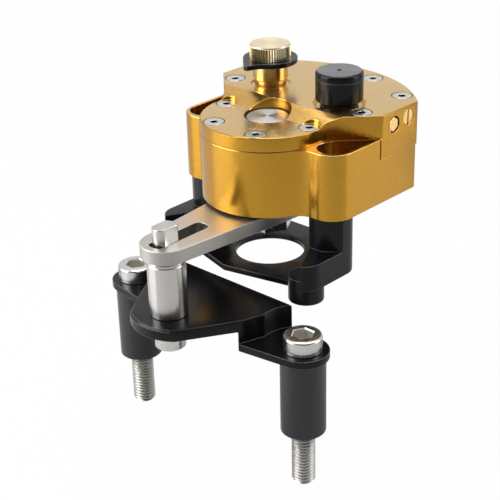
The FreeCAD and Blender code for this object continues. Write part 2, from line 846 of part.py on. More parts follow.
def make_rotor():
    hub_bottom = s.chamber_floor + s.face_gap
    hub_top = s.seam_height - s.face_gap
    shaft_top = low_top - s.shaft_top_drop
    nut_end = arm_bottom - s.washer_thickness - s.nut_height - s.nut_thread_overrun
    thread, edge = s.nut_thread_radius, s.nut_thread_chamfer
    rotor = turned_part("vane_rotor", [
        (ZERO, nut_end), (thread - edge, nut_end), (thread, nut_end + edge), (thread, arm_bottom),
        (s.neck_radius, arm_bottom), (s.neck_radius, arm_top), (s.shaft_radius, arm_top),
        (s.shaft_radius, hub_bottom), (s.hub_radius, hub_bottom), (s.hub_radius, hub_top),
        (s.journal_radius, hub_top), (s.journal_radius, shaft_top - s.edge_break),
        (s.journal_radius - s.edge_break, shaft_top), (ZERO, shaft_top)])
    half = s.vane_width / 2
    tip = s.chamber_radius - s.face_gap
    tip_y = -root(tip * tip - half * half)
    pad(rotor, "vane", [[(-half, tip_y, "left", tip), (half, tip_y), (half, ZERO), (-half, ZERO)]],
        hub_bottom, hub_top)
    flat = s.neck_flats / 2
    outside = s.neck_radius + PAST
    sides = [[(side * flat, -outside), (side * outside, -outside), (side * outside, outside),
              (side * flat, outside)] for side in (-1, 1)]
    pocket(rotor, "neck_flats", sides, arm_bottom, arm_top)
    return add_part(rotor)


# Link arm: a tapered plate with a keyed hub hole and a long slot for the pin

def make_arm():
    arm = new_body("link_arm")
    hub, nose, reach = s.arm_hub_radius, s.arm_nose_radius, s.pin_reach
    lean = (hub - nose) / reach
    level = root(1 - lean * lean)
    pad(arm, "arm_plate", [[
        (-(nose * level), -(reach + nose * lean), "left", nose),
        (nose * level, -(reach + nose * lean)),
        (hub * level, -(hub * lean), "left", hub),
        (ZERO, hub, "left", hub),
        (-(hub * level), -(hub * lean)),
    ]], arm_bottom, arm_top)
    wide, corner = s.slot_half_width, s.slot_corner
    outer, inner = -s.slot_outer, -s.slot_inner
    pocket(arm, "pin_slot", [[
        (corner - wide, outer), (wide - corner, outer, "left", corner),
        (wide, outer + corner), (wide, inner - corner, "left", corner),
        (wide - corner, inner), (corner - wide, inner, "left", corner),
        (-wide, inner - corner), (-wide, outer + corner, "left", corner),
    ]], arm_bottom, arm_top)
    radius = s.neck_radius + s.sliding_gap
    flat = s.neck_flats / 2 + s.sliding_gap
    flat_end = root(radius * radius - flat * flat)
    pocket(arm, "hub_hole", [[
        (flat, -flat_end), (flat, flat_end, "left", radius),
        (-flat, flat_end), (-flat, -flat_end, "left", radius),
    ]], arm_bottom, arm_top)
    dress(arm, "Chamfer", "arm_edges",
          lambda edge: (flat_at(arm_top)(edge) or flat_at(arm_bottom)(edge))
          and edge.BoundBox.DiagonalLength > s.arm_nose_radius.value * 1.9
          and edge.BoundBox.XMax > s.arm_nose_radius.value - 1
          or (flat_at(arm_top)(edge) or flat_at(arm_bottom)(edge))
          and edge.BoundBox.XMin < 1 - s.arm_nose_radius.value, s.edge_break / 2)
    add_part(arm)
    thread = s.nut_thread_radius + s.thread_gap
    washer_bottom = arm_bottom - s.washer_thickness
    ring_part("arm_washer", thread, s.washer_radius, washer_bottom, arm_bottom)
    nut = new_body("arm_nut")
    pad(nut, "nut_block", [hexagon(s.nut_across_flats)], washer_bottom - s.nut_height, washer_bottom)
    drill(nut, "nut_thread", [(ZERO, ZERO, thread)], washer_bottom - s.nut_height, washer_bottom)
    add_part(nut)


# Tower: the pin that slides in the slot, and the post that carries it

def make_tower():
    pin_bottom = post_top + s.face_gap
    shank_bottom = post_top - s.pin_shank_length
    edge = s.edge_break
    pin = turned_part("tower_pin", [
        (ZERO, shank_bottom), (s.pin_shank_radius, shank_bottom), (s.pin_shank_radius, pin_bottom),
        (s.pin_radius, pin_bottom), (s.pin_radius, s.pin_top - edge),
        (s.pin_radius - edge, s.pin_top), (ZERO, s.pin_top)], y=-s.pin_reach)
    flat = s.slot_half_width - s.sliding_gap
    outside = s.pin_radius + PAST
    sides = [[(side * flat, -outside), (side * outside, -outside), (side * outside, outside),
              (side * flat, outside)] for side in (-1, 1)]
    pocket(pin, "pin_flats", sides, pin_bottom, s.pin_top)
    add_part(pin)
    bore = s.pin_shank_radius + s.running_gap
    bore_bottom = shank_bottom - s.face_gap
    thread = s.tower_bolt_radius + s.thread_gap
    thread_top = bore_bottom - s.post_web
    groove = s.post_groove_depth
    groove_top = post_top - s.post_groove_drop
    add_part(turned_part("tower_post", [
        (thread, tongue_top), (s.post_radius - edge, tongue_top), (s.post_radius, tongue_top + edge),
        (s.post_radius, groove_top - groove), (s.post_radius - groove, groove_top - groove),
        (s.post_radius - groove, groove_top), (s.post_radius, groove_top),
        (s.post_radius, post_top - edge * 2), (s.post_radius - edge * 2, post_top), (bore, post_top),
        (bore, bore_bottom), (ZERO, bore_bottom), (ZERO, thread_top), (thread, thread_top),
    ], y=-s.pin_reach))
    washer_bottom = tongue_bottom - s.tower_washer_thickness
    ring_part("tower_washer", thread + s.edge_break, s.tower_bolt_head_radius + s.tower_washer_brim,
              washer_bottom, tongue_bottom, y=-s.pin_reach)
    length = s.tower_bolt_grip + s.tower_washer_thickness + s.tongue_thickness
    bolt = socket_screw("tower_bolt", s.tower_bolt_radius, s.tower_bolt_head_radius,
                        s.tower_bolt_head_height, length, s.tower_bolt_socket, s.edge_break)
    bolt.Placement = FreeCAD.Placement(FreeCAD.Vector(), FreeCAD.Rotation(FreeCAD.Vector(1, 0, 0), 180))
    bolt.setExpression("Placement.Base.y", (-s.pin_reach).text)
    bolt.setExpression("Placement.Base.z", washer_bottom.text)
    add_part(bolt)


# Frame bracket: tongue under the post, a web down each side and an ear with a screw hole

def pocket_x(front):
    """Side edge of the tongue where it curves round the frame screw."""
    away = s.frame_screw_front - front
    return s.frame_screw_x - root(s.pocket_radius * s.pocket_radius - away * away)


def make_frame_bracket():
    bracket = new_body("frame_bracket")
    rear = s.frame_screw_front - s.ear_radius
    rear_x, front_x = pocket_x(rear), pocket_x(s.pocket_front)
    nose_depth = s.tongue_tip - s.nose_front
    nose_radius = (s.nose_half_width * s.nose_half_width + nose_depth * nose_depth) / (nose_depth * 2)
    pad(bracket, "tongue", [[
        (rear_x, -rear),
        (-rear_x, -rear, "right", s.pocket_radius),
        (-front_x, -s.pocket_front),
        (-s.shoulder_x, -s.shoulder_front),
        (-s.nose_half_width, -s.nose_front, "left", nose_radius),
        (s.nose_half_width, -s.nose_front),
        (s.shoulder_x, -s.shoulder_front),
        (front_x, -s.pocket_front, "right", s.pocket_radius),
    ]], tongue_bottom, tongue_top)
    web = [
        (s.shoulder_x, -s.shoulder_front),
        (front_x, -s.pocket_front, "right", s.pocket_radius),
        (rear_x, -rear),
        (s.web_inner_x, -rear),
    ]
    pad(bracket, "webs", [web, mirrored(web)], bracket_bottom, tongue_bottom)
    span_x = s.frame_screw_x - s.shoulder_x
    span_y = s.shoulder_front - s.frame_screw_front
    span = root(span_x * span_x + span_y * span_y)
    reach = root(span * span - s.ear_radius * s.ear_radius)
    along = reach * reach / (span * span)
    across = reach * s.ear_radius / (span * span)
    touch_x = s.shoulder_x + span_x * along + span_y * across
    touch_y = span_y * along - span_x * across - s.shoulder_front
    ear = [
        (s.shoulder_x, -s.shoulder_front),
        (touch_x, touch_y, "left", s.ear_radius),
        (s.frame_screw_x, -rear),
        (s.web_inner_x + s.ear_lap, -rear),
    ]
    pad(bracket, "ears", [ear, mirrored(ear)], bracket_bottom, ear_top)
    screw_hole = s.frame_screw_radius + s.bolt_gap
    holes = [(side * s.frame_screw_x, -s.frame_screw_front, screw_hole) for side in (-1, 1)]
    drill(bracket, "frame_screw_holes", holes, bracket_bottom, ear_top)
    drill(bracket, "tower_bolt_hole", [(ZERO, -s.pin_reach, s.tower_bolt_radius + s.bolt_gap)],
          tongue_bottom, tongue_top)
    nose_y = -s.nose_front.value
    dress(bracket, "Fillet", "nose_corners",
          lambda edge: abs(edge.BoundBox.YMin - nose_y) < 1e-3 and abs(edge.BoundBox.YMax - nose_y) < 1e-3
          and edge.BoundBox.ZLength > 1, s.nose_half_width / 3)
    dress(bracket, "Chamfer", "bracket_top_edge", lambda edge: flat_at(tongue_top)(edge)
          and edge.BoundBox.DiagonalLength > s.tower_bolt_radius.value * 4, s.bracket_edge)
    return add_part(bracket)


def make_frame_hardware():
    spacer = turned_part("frame_spacer_piece", [
        (s.frame_screw_radius + s.bolt_gap, -s.spacer_length),
        (s.spacer_radius - s.edge_break, -s.spacer_length),
        (s.spacer_radius, s.edge_break - s.spacer_length),
        (s.spacer_radius, ZERO), (s.frame_screw_radius + s.bolt_gap, ZERO)])
    spots = [(side * s.frame_screw_x, -s.frame_screw_front) for side in (-1, 1)]
    add_part(group("frame_spacers", spacer, [(x, y, bracket_bottom) for x, y in spots]))
    grip = ear_top - spacer_bottom + s.face_gap
    plain = s.frame_screw_shank_radius
    screw = socket_screw("frame_screw_piece", s.frame_screw_radius, s.frame_screw_head_radius,
                         s.frame_screw_head_height, s.frame_screw_reach, s.frame_screw_socket,
                         s.bracket_edge, [(s.frame_screw_radius, -grip), (plain, -grip), (plain, ZERO)])
    add_part(group("frame_screws", screw, [(x, y, ear_top) for x, y in spots]))


# Clamp bracket: a plate with the stem hole, and on each side a leg, a block and a post

def make_clamp_bracket():
    clamp = new_body("clamp_bracket")
    reach, block, front = s.lobe_reach, s.block_radius, s.leg_front
    pad(clamp, "plate", [[
        (reach, -front),
        (reach, ZERO),
        (s.plate_rear_half_width, s.plate_rear),
        (-s.plate_rear_half_width, s.plate_rear),
        (-reach, ZERO),
        (-reach, -front),
        (-s.plate_nose_shift, -s.plate_nose),
    ]], plate_bottom, plate_top)
    post_inner = (reach - s.post_front_inner, -s.post_front)
    wing_x = reach + block - s.wing_undercut
    wing = [(wing_x, -front), (wing_x, ZERO), (reach, block / 2), (reach - block, ZERO), post_inner]
    pad(clamp, "wings", [wing, mirrored(wing)], plate_bottom, block_bottom)
    legs = [(side * reach, -front, s.leg_radius) for side in (-1, 1)]
    round_pad(clamp, "legs", legs, -s.leg_bottom, -s.leg_shoulder)
    outer_side = [(reach + block, ZERO, "left", block), (reach, block, "left", block),
                  (reach - block, ZERO), post_inner]
    turn_y = s.leg_radius - block - front
    shift = s.block_corner_shift
    side_block = [
        (reach + shift, turn_y - root(block * block - shift * shift), "left", block),
        (reach + block, turn_y)] + outer_side
    pad(clamp, "blocks", [side_block, mirrored(side_block)], block_bottom, block_top)
    post = [(reach + s.post_front_outer, -s.post_front),
            (reach + block, -s.post_flank_front)] + outer_side
    pad(clamp, "posts", [post, mirrored(post)], block_top, ZERO)
    drill(clamp, "stem_hole", [(ZERO, ZERO, s.stem_hole_radius)], plate_bottom, plate_top)
    bolt_bottom = s.well_floor - s.mount_bolt_length - s.bore_run
    threads = [(side * reach, ZERO, s.mount_bolt_radius + s.thread_gap) for side in (-1, 1)]
    drill(clamp, "mount_bolt_threads", threads, bolt_bottom, ZERO)
    leg_threads = [(side * reach, -front, s.leg_thread_radius) for side in (-1, 1)]
    drill(clamp, "leg_threads", leg_threads, -s.leg_bottom, s.leg_thread_depth - s.leg_bottom)
    dress(clamp, "Chamfer", "stem_hole_edge",
          lambda edge: abs(edge.BoundBox.XLength - s.stem_hole_radius.value * 2) < 1e-2
          and edge.BoundBox.ZLength < 1e-3, s.edge_break)
    return add_part(clamp)


# Damping adjuster: knob, lever, needle and the collar with its detent

def make_adjuster():
    x, y = -s.knob_x, s.knob_back
    edge = s.edge_break
    knob_bottom = s.knob_top - s.knob_height
    lever_bottom = knob_bottom - s.lever_thickness
    needle_top = s.knob_top - s.knob_roof
    bore_end = needle_top + s.seat_gap
    bore = s.needle_radius + s.running_gap
    knob = turned_part("adjuster_knob", [
        (bore, lever_bottom), (s.knob_spigot_radius, lever_bottom), (s.knob_spigot_radius, knob_bottom),
        (s.knob_radius, knob_bottom), (s.knob_radius, s.knob_top - edge),
        (s.knob_radius - edge, s.knob_top), (ZERO, s.knob_top), (ZERO, bore_end), (bore, bore_end)], x, y)
    add_part(knob)
    lever = new_body("knob_lever", x, y)
    along = s.lever_radius * s.lever_radius / s.lever_tip
    across = root(s.lever_radius * s.lever_radius - along * along)
    pad(lever, "lever_plate", [[
        (ZERO, -s.lever_tip), (across, -along, "left", s.lever_radius),
        (ZERO, s.lever_radius, "left", s.lever_radius), (-across, -along),
    ]], lever_bottom, knob_bottom)
    drill(lever, "lever_hole", [(ZERO, ZERO, s.knob_spigot_radius + s.running_gap)],
          lever_bottom, knob_bottom)
    dress(lever, "Fillet", "lever_tip_round",
          lambda e: e.BoundBox.ZLength > 1 and e.BoundBox.YMax < -s.lever_radius.value - 1,
          s.lever_thickness / 2)
    add_part(lever)
    cone = s.needle_radius - s.port_radius / 2
    add_part(turned_part("adjuster_needle", [
        (ZERO, s.needle_tip_height), (s.port_radius / 2, s.needle_tip_height),
        (s.needle_radius, s.needle_tip_height + cone * 2), (s.needle_radius, needle_top),
        (ZERO, needle_top)], x, y))
    seat = high_top - s.collar_seat_depth
    spigot, spigot_bottom = s.collar_spigot_radius, s.seam_height + s.insert_lift
    ring = s.collar_ring_radius
    groove, groove_bottom = spigot - ring * 2 - s.groove_play, s.seam_height + s.insert_groove_lift
    collar = turned_part("adjuster_collar", [
        (bore, spigot_bottom), (spigot, spigot_bottom), (spigot, groove_bottom),
        (groove, groove_bottom), (groove, groove_bottom + ring * 3), (spigot, groove_bottom + ring * 3),
        (spigot, seat), (s.collar_neck_radius, seat),
        (s.collar_neck_radius, s.collar_shoulder - s.collar_radius + s.collar_neck_radius),
        (s.collar_radius, s.collar_shoulder), (s.collar_radius, s.collar_top - edge),
        (s.collar_radius - edge, s.collar_top), (bore, s.collar_top)], x, y)
    detent = s.detent_radius + s.sliding_gap
    detent_floor = s.collar_top - s.detent_depth
    drill(collar, "detent_bore", [(s.detent_reach, ZERO, detent)], detent_floor, s.collar_top)
    add_part(collar)
    o_ring("collar_seal", spigot - ring - s.groove_play / 4, ring, groove_bottom + ring * 1.5, x, y)
    ball_centre = s.collar_top - s.detent_radius + s.detent_show
    r = s.detent_radius
    add_part(turned_part("detent_ball", [
        (ZERO, ball_centre - r, "left", r), (r, ball_centre, "left", r), (ZERO, ball_centre + r)],
        x + s.detent_reach, y))
    coil_spring("detent_spring", s.detent_spring_radius, s.detent_spring_wire, s.spring_turns - 2,
                detent_floor + s.sliding_gap, ball_centre - r - s.sliding_gap, x + s.detent_reach, y)


def coil_spring(label, radius, wire, turns, bottom, top, x, y):
    """An open coil spring of round wire standing between two heights."""
    height = top - bottom - wire * 2
    pitch = height.value / turns.value
    helix = Part.makeHelix(pitch, height.value, radius.value)
    section = Part.Wire(Part.makeCircle(wire.value, FreeCAD.Vector(radius.value, 0, 0), FreeCAD.Vector(0, 1, 0)))
    spring = document.addObject("Part::Feature", label)
    spring.Label = label
    spring.Shape = Part.Wire(helix).makePipeShell([section], True, True)
    spring.Placement = FreeCAD.Placement(
        FreeCAD.Vector(x.value, y.value, (bottom + wire).value), FreeCAD.Rotation())
    return add_part(spring)


# Reservoir: cap, compensator piston with its ring, and spring

def make_reservoir():
    x, y = s.cap_x, s.cap_back
    edge = s.cap_chamfer
    spigot, cylinder = s.cap_spigot_radius, s.cylinder_radius
    spigot_bottom = s.seam_height + s.insert_lift
    groove_bottom = s.seam_height + s.insert_groove_lift
    ring = s.cap_ring_radius
    groove, groove_top = spigot - ring * 2 - s.groove_play, groove_bottom + ring * 3
    line, line_top = s.cap_top - s.cap_line_drop, s.cap_top - s.cap_line_drop + s.cap_line_width
    line_radius = s.cap_radius - s.cap_line_depth
    ceiling = s.cap_top - s.cap_roof
    dimple = s.cap_top - s.cap_dimple_depth
    add_part(turned_part("reservoir_cap", [
        (cylinder, spigot_bottom), (spigot, spigot_bottom), (spigot, groove_bottom),
        (groove, groove_bottom), (groove, groove_top), (spigot, groove_top), (spigot, s.cap_bottom),
        (s.cap_radius - edge, s.cap_bottom), (s.cap_radius, s.cap_bottom + edge), (s.cap_radius, line),
        (line_radius, line), (line_radius, line_top), (s.cap_radius, line_top),
        (s.cap_radius, s.cap_top - edge), (s.cap_radius - edge, s.cap_top),
        (edge, s.cap_top), (edge, dimple), (ZERO, dimple), (ZERO, ceiling), (cylinder, ceiling)], x, y))
    o_ring("cap_seal", spigot - ring - s.groove_play / 4, ring, groove_bottom + ring * 1.5, x, y)
    outer = cylinder - s.sliding_gap
    bottom, top = s.piston_bottom, s.piston_bottom + s.piston_height
    floor = bottom + s.piston_floor
    middle = bottom + s.piston_height / 2
    ring = s.piston_ring_radius
    groove = outer - ring * 2 - s.groove_play
    cup = s.spring_radius + s.spring_wire + s.spring_room
    add_part(turned_part("compensator_piston", [
        (ZERO, bottom), (outer, bottom), (outer, middle - ring * 1.5), (groove, middle - ring * 1.5),
        (groove, middle + ring * 1.5), (outer, middle + ring * 1.5), (outer, top), (cup, top),
        (cup, floor), (ZERO, floor)], x, y))
    o_ring("piston_ring", outer - ring - s.groove_play / 4, ring, middle, x, y)
    coil_spring("compensator_spring", s.spring_radius, s.spring_wire, s.spring_turns,
                floor + s.sliding_gap, ceiling - s.sliding_gap, x, y)


def make_cap_seat():
    """Conical seat round the reservoir cap, cut last because it runs into the ramp."""
    cover = nodes["top_cover"]
    seat = turned_part("cap_seat_cutter", [
        (ZERO, high_top - s.cap_seat_depth), (s.cap_seat_floor_radius, high_top - s.cap_seat_depth),
        (s.cap_seat_radius, high_top), (s.cap_seat_radius, high_top + PAST), (ZERO, high_top + PAST)],
        s.cap_x, s.cap_back)
    cut = document.addObject("Part::Cut", "top_cover_seated")
    cut.Base = cover
    cut.Tool = seat
    cover.Label = "top_cover_block"
    cut.Label = "top_cover"
    nodes["top_cover"] = cut


# Side adjusters and plugs, each built upright and laid on its side

def laid_out(body, side, back, height, inset):
    """Turn a piece so that its own +Z points out of one flank of the cover."""
    turn_over = FreeCAD.Rotation(FreeCAD.Vector(0, 1, 0), 90 * side)
    body.Placement = FreeCAD.Placement(FreeCAD.Vector(), turn_over)
    body.setExpression("Placement.Base.x", (side * (s.cover_half_width - inset)).text)
    body.setExpression("Placement.Base.y", back.text)
    body.setExpression("Placement.Base.z", height.text)
    return body


def make_side_pieces():
    for side, label in ((-1, "sweep_adjuster_left"), (1, "sweep_adjuster_right")):
        head, needle = s.side_screw_radius, s.side_needle_radius
        head_end = -s.side_screw_length
        tip = head_end - s.side_needle_length
        adjuster = turned_part(label, [
            (ZERO, tip), (needle, tip + needle), (needle, head_end), (head, head_end), (head, ZERO),
            (ZERO, ZERO)])
        half, long = s.slot_width / 2, head + PAST
        pocket(adjuster, label + "_slot", [[(-long, -half), (long, -half), (long, half), (-long, half)]],
               -s.slot_depth, ZERO)
        add_part(laid_out(adjuster, side, s.side_screw_back, s.side_screw_height, s.face_gap))
    plugs = []
    for side in (-1, 1):
        plug = turned_part("plug_piece", [
            (ZERO, -(s.plug_shank_length + s.plug_pocket_depth)),
            (s.plug_shank_radius, -(s.plug_shank_length + s.plug_pocket_depth)),
            (s.plug_shank_radius, -s.plug_pocket_depth), (ZERO, -s.plug_pocket_depth)])
        pad(plug, "plug_head", [hexagon(s.plug_across_flats)], -s.plug_pocket_depth, -s.face_gap)
        plugs.append(laid_out(plug, side, s.plug_back, s.plug_height, ZERO))
    side_plugs = document.addObject("Part::Compound", "side_plugs")
    side_plugs.Label = "side_plugs"
    side_plugs.Links = plugs
    add_part(side_plugs)


make_housing()
make_cover()
make_cap_seat()
make_cover_screws()
make_mount_bolts()
make_shaft_bearings()
make_rotor()
make_arm()
make_tower()
make_frame_bracket()
make_frame_hardware()
make_clamp_bracket()
make_adjuster()
make_reservoir()
make_side_pieces()
document.recompute()

# Checks before anything is written

for item in document.Objects:
    if "Invalid" in item.State or "Error" in item.State:
        raise RuntimeError(f"{item.Label} failed: {item.State}")
for cut in cuts:
    if cut.Shape.Volume > cut.BaseFeature.Shape.Volume - 1e-3:
        raise RuntimeError(f"{cut.Label} removes nothing")
for label, piece in nodes.items():
    if piece.Shape.isNull() or not piece.Shape.isValid() or not piece.Shape.Solids:
        raise RuntimeError(f"{label} has no valid shape")

os.makedirs("parts", exist_ok=True)
for label, piece in nodes.items():
    piece.Shape.exportStep(os.path.join("parts", label + ".step"))
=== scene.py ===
import math
import bmesh
import bpy
from mathutils import Matrix, Vector


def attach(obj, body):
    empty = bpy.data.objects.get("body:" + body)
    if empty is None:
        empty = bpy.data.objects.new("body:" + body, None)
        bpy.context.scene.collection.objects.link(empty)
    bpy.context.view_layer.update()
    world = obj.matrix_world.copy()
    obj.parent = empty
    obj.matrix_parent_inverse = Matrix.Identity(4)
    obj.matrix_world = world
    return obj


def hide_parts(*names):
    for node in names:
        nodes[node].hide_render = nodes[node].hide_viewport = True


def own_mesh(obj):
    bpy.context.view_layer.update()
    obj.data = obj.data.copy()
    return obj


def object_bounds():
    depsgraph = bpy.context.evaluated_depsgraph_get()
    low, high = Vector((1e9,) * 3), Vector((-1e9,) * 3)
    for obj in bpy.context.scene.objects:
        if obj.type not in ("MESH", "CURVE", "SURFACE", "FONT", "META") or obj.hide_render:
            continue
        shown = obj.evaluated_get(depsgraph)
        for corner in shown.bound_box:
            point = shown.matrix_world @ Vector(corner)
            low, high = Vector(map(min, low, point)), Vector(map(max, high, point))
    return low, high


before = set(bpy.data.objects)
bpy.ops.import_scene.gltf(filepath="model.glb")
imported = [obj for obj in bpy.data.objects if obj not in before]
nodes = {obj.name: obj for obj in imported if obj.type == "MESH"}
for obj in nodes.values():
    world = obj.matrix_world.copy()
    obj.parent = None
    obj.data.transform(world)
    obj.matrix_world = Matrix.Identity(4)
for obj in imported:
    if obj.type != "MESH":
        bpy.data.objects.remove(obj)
cad_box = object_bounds()

# Camera and light: the damper stands on its long screws on a white table, seen from its right
# front corner. A large soft box stands on each side with a small low card before it that draws
# the upright bands on round walls, and a third soft box hangs overhead.

scene = bpy.context.scene
scene.view_settings.view_transform = "Standard"
camera_spot = Vector((0.34217, -0.37388, 0.21715))
look = Vector((-0.61941, 0.65353, -0.43500)).normalized()
lean = math.radians(-1.474)
level = look.cross(Vector((0, 0, 1))).normalized()
upright = level.cross(look)
across = level * math.cos(lean) + upright * math.sin(lean)
upward = upright * math.cos(lean) - level * math.sin(lean)
camera_data = bpy.data.cameras.new("camera")
camera_data.lens = 92.25
camera_data.clip_start = 0.01
camera = bpy.data.objects.new("camera", camera_data)
turn_to_view = Matrix((across, upward, -look)).transposed().to_4x4()
camera.matrix_world = Matrix.Translation(camera_spot) @ turn_to_view
scene.collection.objects.link(camera)
scene.camera = camera


def soft_box(name, spot, width, height, power):
    """A rectangular lamp that faces the middle of the object."""
    lamp = bpy.data.lights.new(name, "AREA")
    lamp.shape = "RECTANGLE"
    lamp.size = width
    lamp.size_y = height
    lamp.energy = power
    holder = bpy.data.objects.new(name, lamp)
    holder.location = spot
    holder.rotation_euler = (Vector((0, 0, -0.02)) - Vector(spot)).to_track_quat("-Z", "Y").to_euler()
    holder.visible_camera = False
    scene.collection.objects.link(holder)


soft_box("left_box", (-0.40, -0.565, 0.30), 0.58, 0.75, 7.0)
soft_box("right_box", (0.56, 0.39, 0.26), 0.38, 0.70, 1.9)
soft_box("left_card", (-0.11, -0.15, -0.03), 0.14, 0.15, 0.036)
soft_box("right_card", (0.15, 0.105, -0.03), 0.13, 0.15, 0.016)
soft_box("top_box", (-0.12, 0.20, 0.75), 0.55, 0.55, 3.0)


def add_node(tree, kind, **settings):
    """A shader node with its plain settings made."""
    node = tree.nodes.new(kind)
    for name, value in settings.items():
        setattr(node, name, value)
    return node


def spread(tree, source, low_in, high_in, low_out, high_out):
    """Stretch a value from one range to another; each end is a number or a socket."""
    node = add_node(tree, "ShaderNodeMapRange")
    ends = {"Value": source, "From Min": low_in, "From Max": high_in,
            "To Min": low_out, "To Max": high_out}
    for label, end in ends.items():
        if isinstance(end, bpy.types.NodeSocket):
            tree.links.new(end, node.inputs[label])
        else:
            node.inputs[label].default_value = end
    return node.outputs["Result"]


LIGHT_WALL = 0.85
DARK_WALL = 0.09

world = bpy.data.worlds.new("studio")
scene.world = world
world.use_nodes = True
room = world.node_tree
backdrop = room.nodes["Background"]
seen = add_node(room, "ShaderNodeLightPath")
heading = add_node(room, "ShaderNodeTexCoord")
front_side = add_node(room, "ShaderNodeVectorMath", operation="DOT_PRODUCT")
front_side.inputs[1].default_value = (-look.x, -look.y, 0)
room.links.new(heading.outputs["Generated"], front_side.inputs[0])
wall_light = spread(room, front_side.outputs["Value"], 0.1, 0.85, LIGHT_WALL, DARK_WALL)
brighter = add_node(room, "ShaderNodeMath", operation="MAXIMUM")
room.links.new(wall_light, brighter.inputs[0])
room.links.new(seen.outputs["Is Camera Ray"], brighter.inputs[1])
room.links.new(brighter.outputs["Value"], backdrop.inputs["Strength"])
backdrop.inputs["Color"].default_value = (1, 1, 1, 1)

TABLE_HALF = 2.5
TABLE_GAP = 0.0002
PAPER = 0.48
PAPER_SEEN = 0.98

table_top = bmesh.new()
bmesh.ops.create_grid(table_top, x_segments=1, y_segments=1, size=TABLE_HALF)
bmesh.ops.translate(table_top, verts=table_top.verts, vec=(0, 0, cad_box[0].z - TABLE_GAP))
table_mesh = bpy.data.meshes.new("table")
table_top.to_mesh(table_mesh)
table_top.free()
table = bpy.data.objects.new("table", table_mesh)
scene.collection.objects.link(table)
paper = bpy.data.materials.new("white_paper")
paper.use_nodes = True
paper_tree = paper.node_tree
paper_shader = paper_tree.nodes["Principled BSDF"]
paper_shader.inputs["Base Color"].default_value = (PAPER, PAPER, PAPER, 1)
paper_shader.inputs["Roughness"].default_value = 1
paper_shader.inputs["Specular IOR Level"].default_value = 0
paper_glow = add_node(paper_tree, "ShaderNodeEmission")
paper_sight = add_node(paper_tree, "ShaderNodeLightPath")
paper_share = add_node(paper_tree, "ShaderNodeMath", operation="MULTIPLY")
paper_share.inputs[1].default_value = PAPER_SEEN
paper_mix = add_node(paper_tree, "ShaderNodeMixShader")
paper_tree.links.new(paper_sight.outputs["Is Camera Ray"], paper_share.inputs[0])
paper_tree.links.new(paper_share.outputs["Value"], paper_mix.inputs["Fac"])
paper_tree.links.new(paper_shader.outputs["BSDF"], paper_mix.inputs[1])
paper_tree.links.new(paper_glow.outputs["Emission"], paper_mix.inputs[2])
paper_tree.links.new(paper_mix.outputs["Shader"], paper_tree.nodes["Material Output"].inputs["Surface"])
table_mesh.materials.append(paper)

# Clamp bracket: one black anodised aluminium block, milled to a plate with a round stem hole,
# two blocks, the posts that carry the body and the legs that stand on the fork clamp.

SURFACE_OUTPUTS = (("Shade", "NodeSocketFloat"), ("Roughness", "NodeSocketFloat"),
                   ("Normal", "NodeSocketVector"))


def new_group(name, inputs, outputs):
    """A shader node group with its two ends, ready to be filled."""
    tree = bpy.data.node_groups.new(name, "ShaderNodeTree")
    for label, kind, value in inputs:
        socket = tree.interface.new_socket(label, in_out="INPUT", socket_type=kind)
        socket.default_value = value
    for label, kind in outputs:
        tree.interface.new_socket(label, in_out="OUTPUT", socket_type=kind)
    return tree, tree.nodes.new("NodeGroupInput"), tree.nodes.new("NodeGroupOutput")


def surface_ends(tree, start, end, pattern):
    """Turn one pattern into shade, roughness and a bumped normal."""
    tree.links.new(spread(tree, pattern, 0.3, 0.7, 0.93, 1.05), end.inputs["Shade"])
    rough = spread(tree, pattern, 0.3, 0.7, start.outputs["Smooth"], start.outputs["Rough"])
    tree.links.new(rough, end.inputs["Roughness"])
    bump = add_node(tree, "ShaderNodeBump")
    bump.inputs["Strength"].default_value = 1
    tree.links.new(start.outputs["Depth"], bump.inputs["Distance"])
    tree.links.new(pattern, bump.inputs["Height"])
    tree.links.new(bump.outputs["Normal"], end.inputs["Normal"])


SURFACE_INPUTS = (("Smooth", "NodeSocketFloat", 0.2), ("Rough", "NodeSocketFloat", 0.3),
                  ("Depth", "NodeSocketFloat", 0.000002))

grain, grain_in, grain_out = new_group(
    "grain", (("Stretch", "NodeSocketVector", (1, 1, 1)),) + SURFACE_INPUTS, SURFACE_OUTPUTS)
grain_place = add_node(grain, "ShaderNodeTexCoord")
grain_pull = add_node(grain, "ShaderNodeVectorMath", operation="MULTIPLY")
grain.links.new(grain_place.outputs["Object"], grain_pull.inputs[0])
grain.links.new(grain_in.outputs["Stretch"], grain_pull.inputs[1])
grain_noise = add_node(grain, "ShaderNodeTexNoise")
grain_noise.inputs["Scale"].default_value = 1
grain_noise.inputs["Detail"].default_value = 3
grain.links.new(grain_pull.outputs["Vector"], grain_noise.inputs["Vector"])
surface_ends(grain, grain_in, grain_out, grain_noise.outputs["Fac"])

# Mask of the sharp edges, where an edge colour is painted on as a highlight.
edges, edges_in, edges_out = new_group(
    "edges", (("Width", "NodeSocketFloat", 0.0003),), (("Mask", "NodeSocketFloat"),))
edge_bevel = add_node(edges, "ShaderNodeBevel", samples=4)
edges.links.new(edges_in.outputs["Width"], edge_bevel.inputs["Radius"])
edge_geometry = add_node(edges, "ShaderNodeNewGeometry")
edge_dot = add_node(edges, "ShaderNodeVectorMath", operation="DOT_PRODUCT")
edges.links.new(edge_bevel.outputs["Normal"], edge_dot.inputs[0])
edges.links.new(edge_geometry.outputs["Normal"], edge_dot.inputs[1])
edges.links.new(spread(edges, edge_dot.outputs["Value"], 0.99, 0.75, 0, 1), edges_out.inputs["Mask"])


def place_group(tree, group, **values):
    """A shader node group in a material, with its plain values set."""
    node = add_node(tree, "ShaderNodeGroup", node_tree=group)
    for label, value in values.items():
        node.inputs[label].default_value = value
    return node


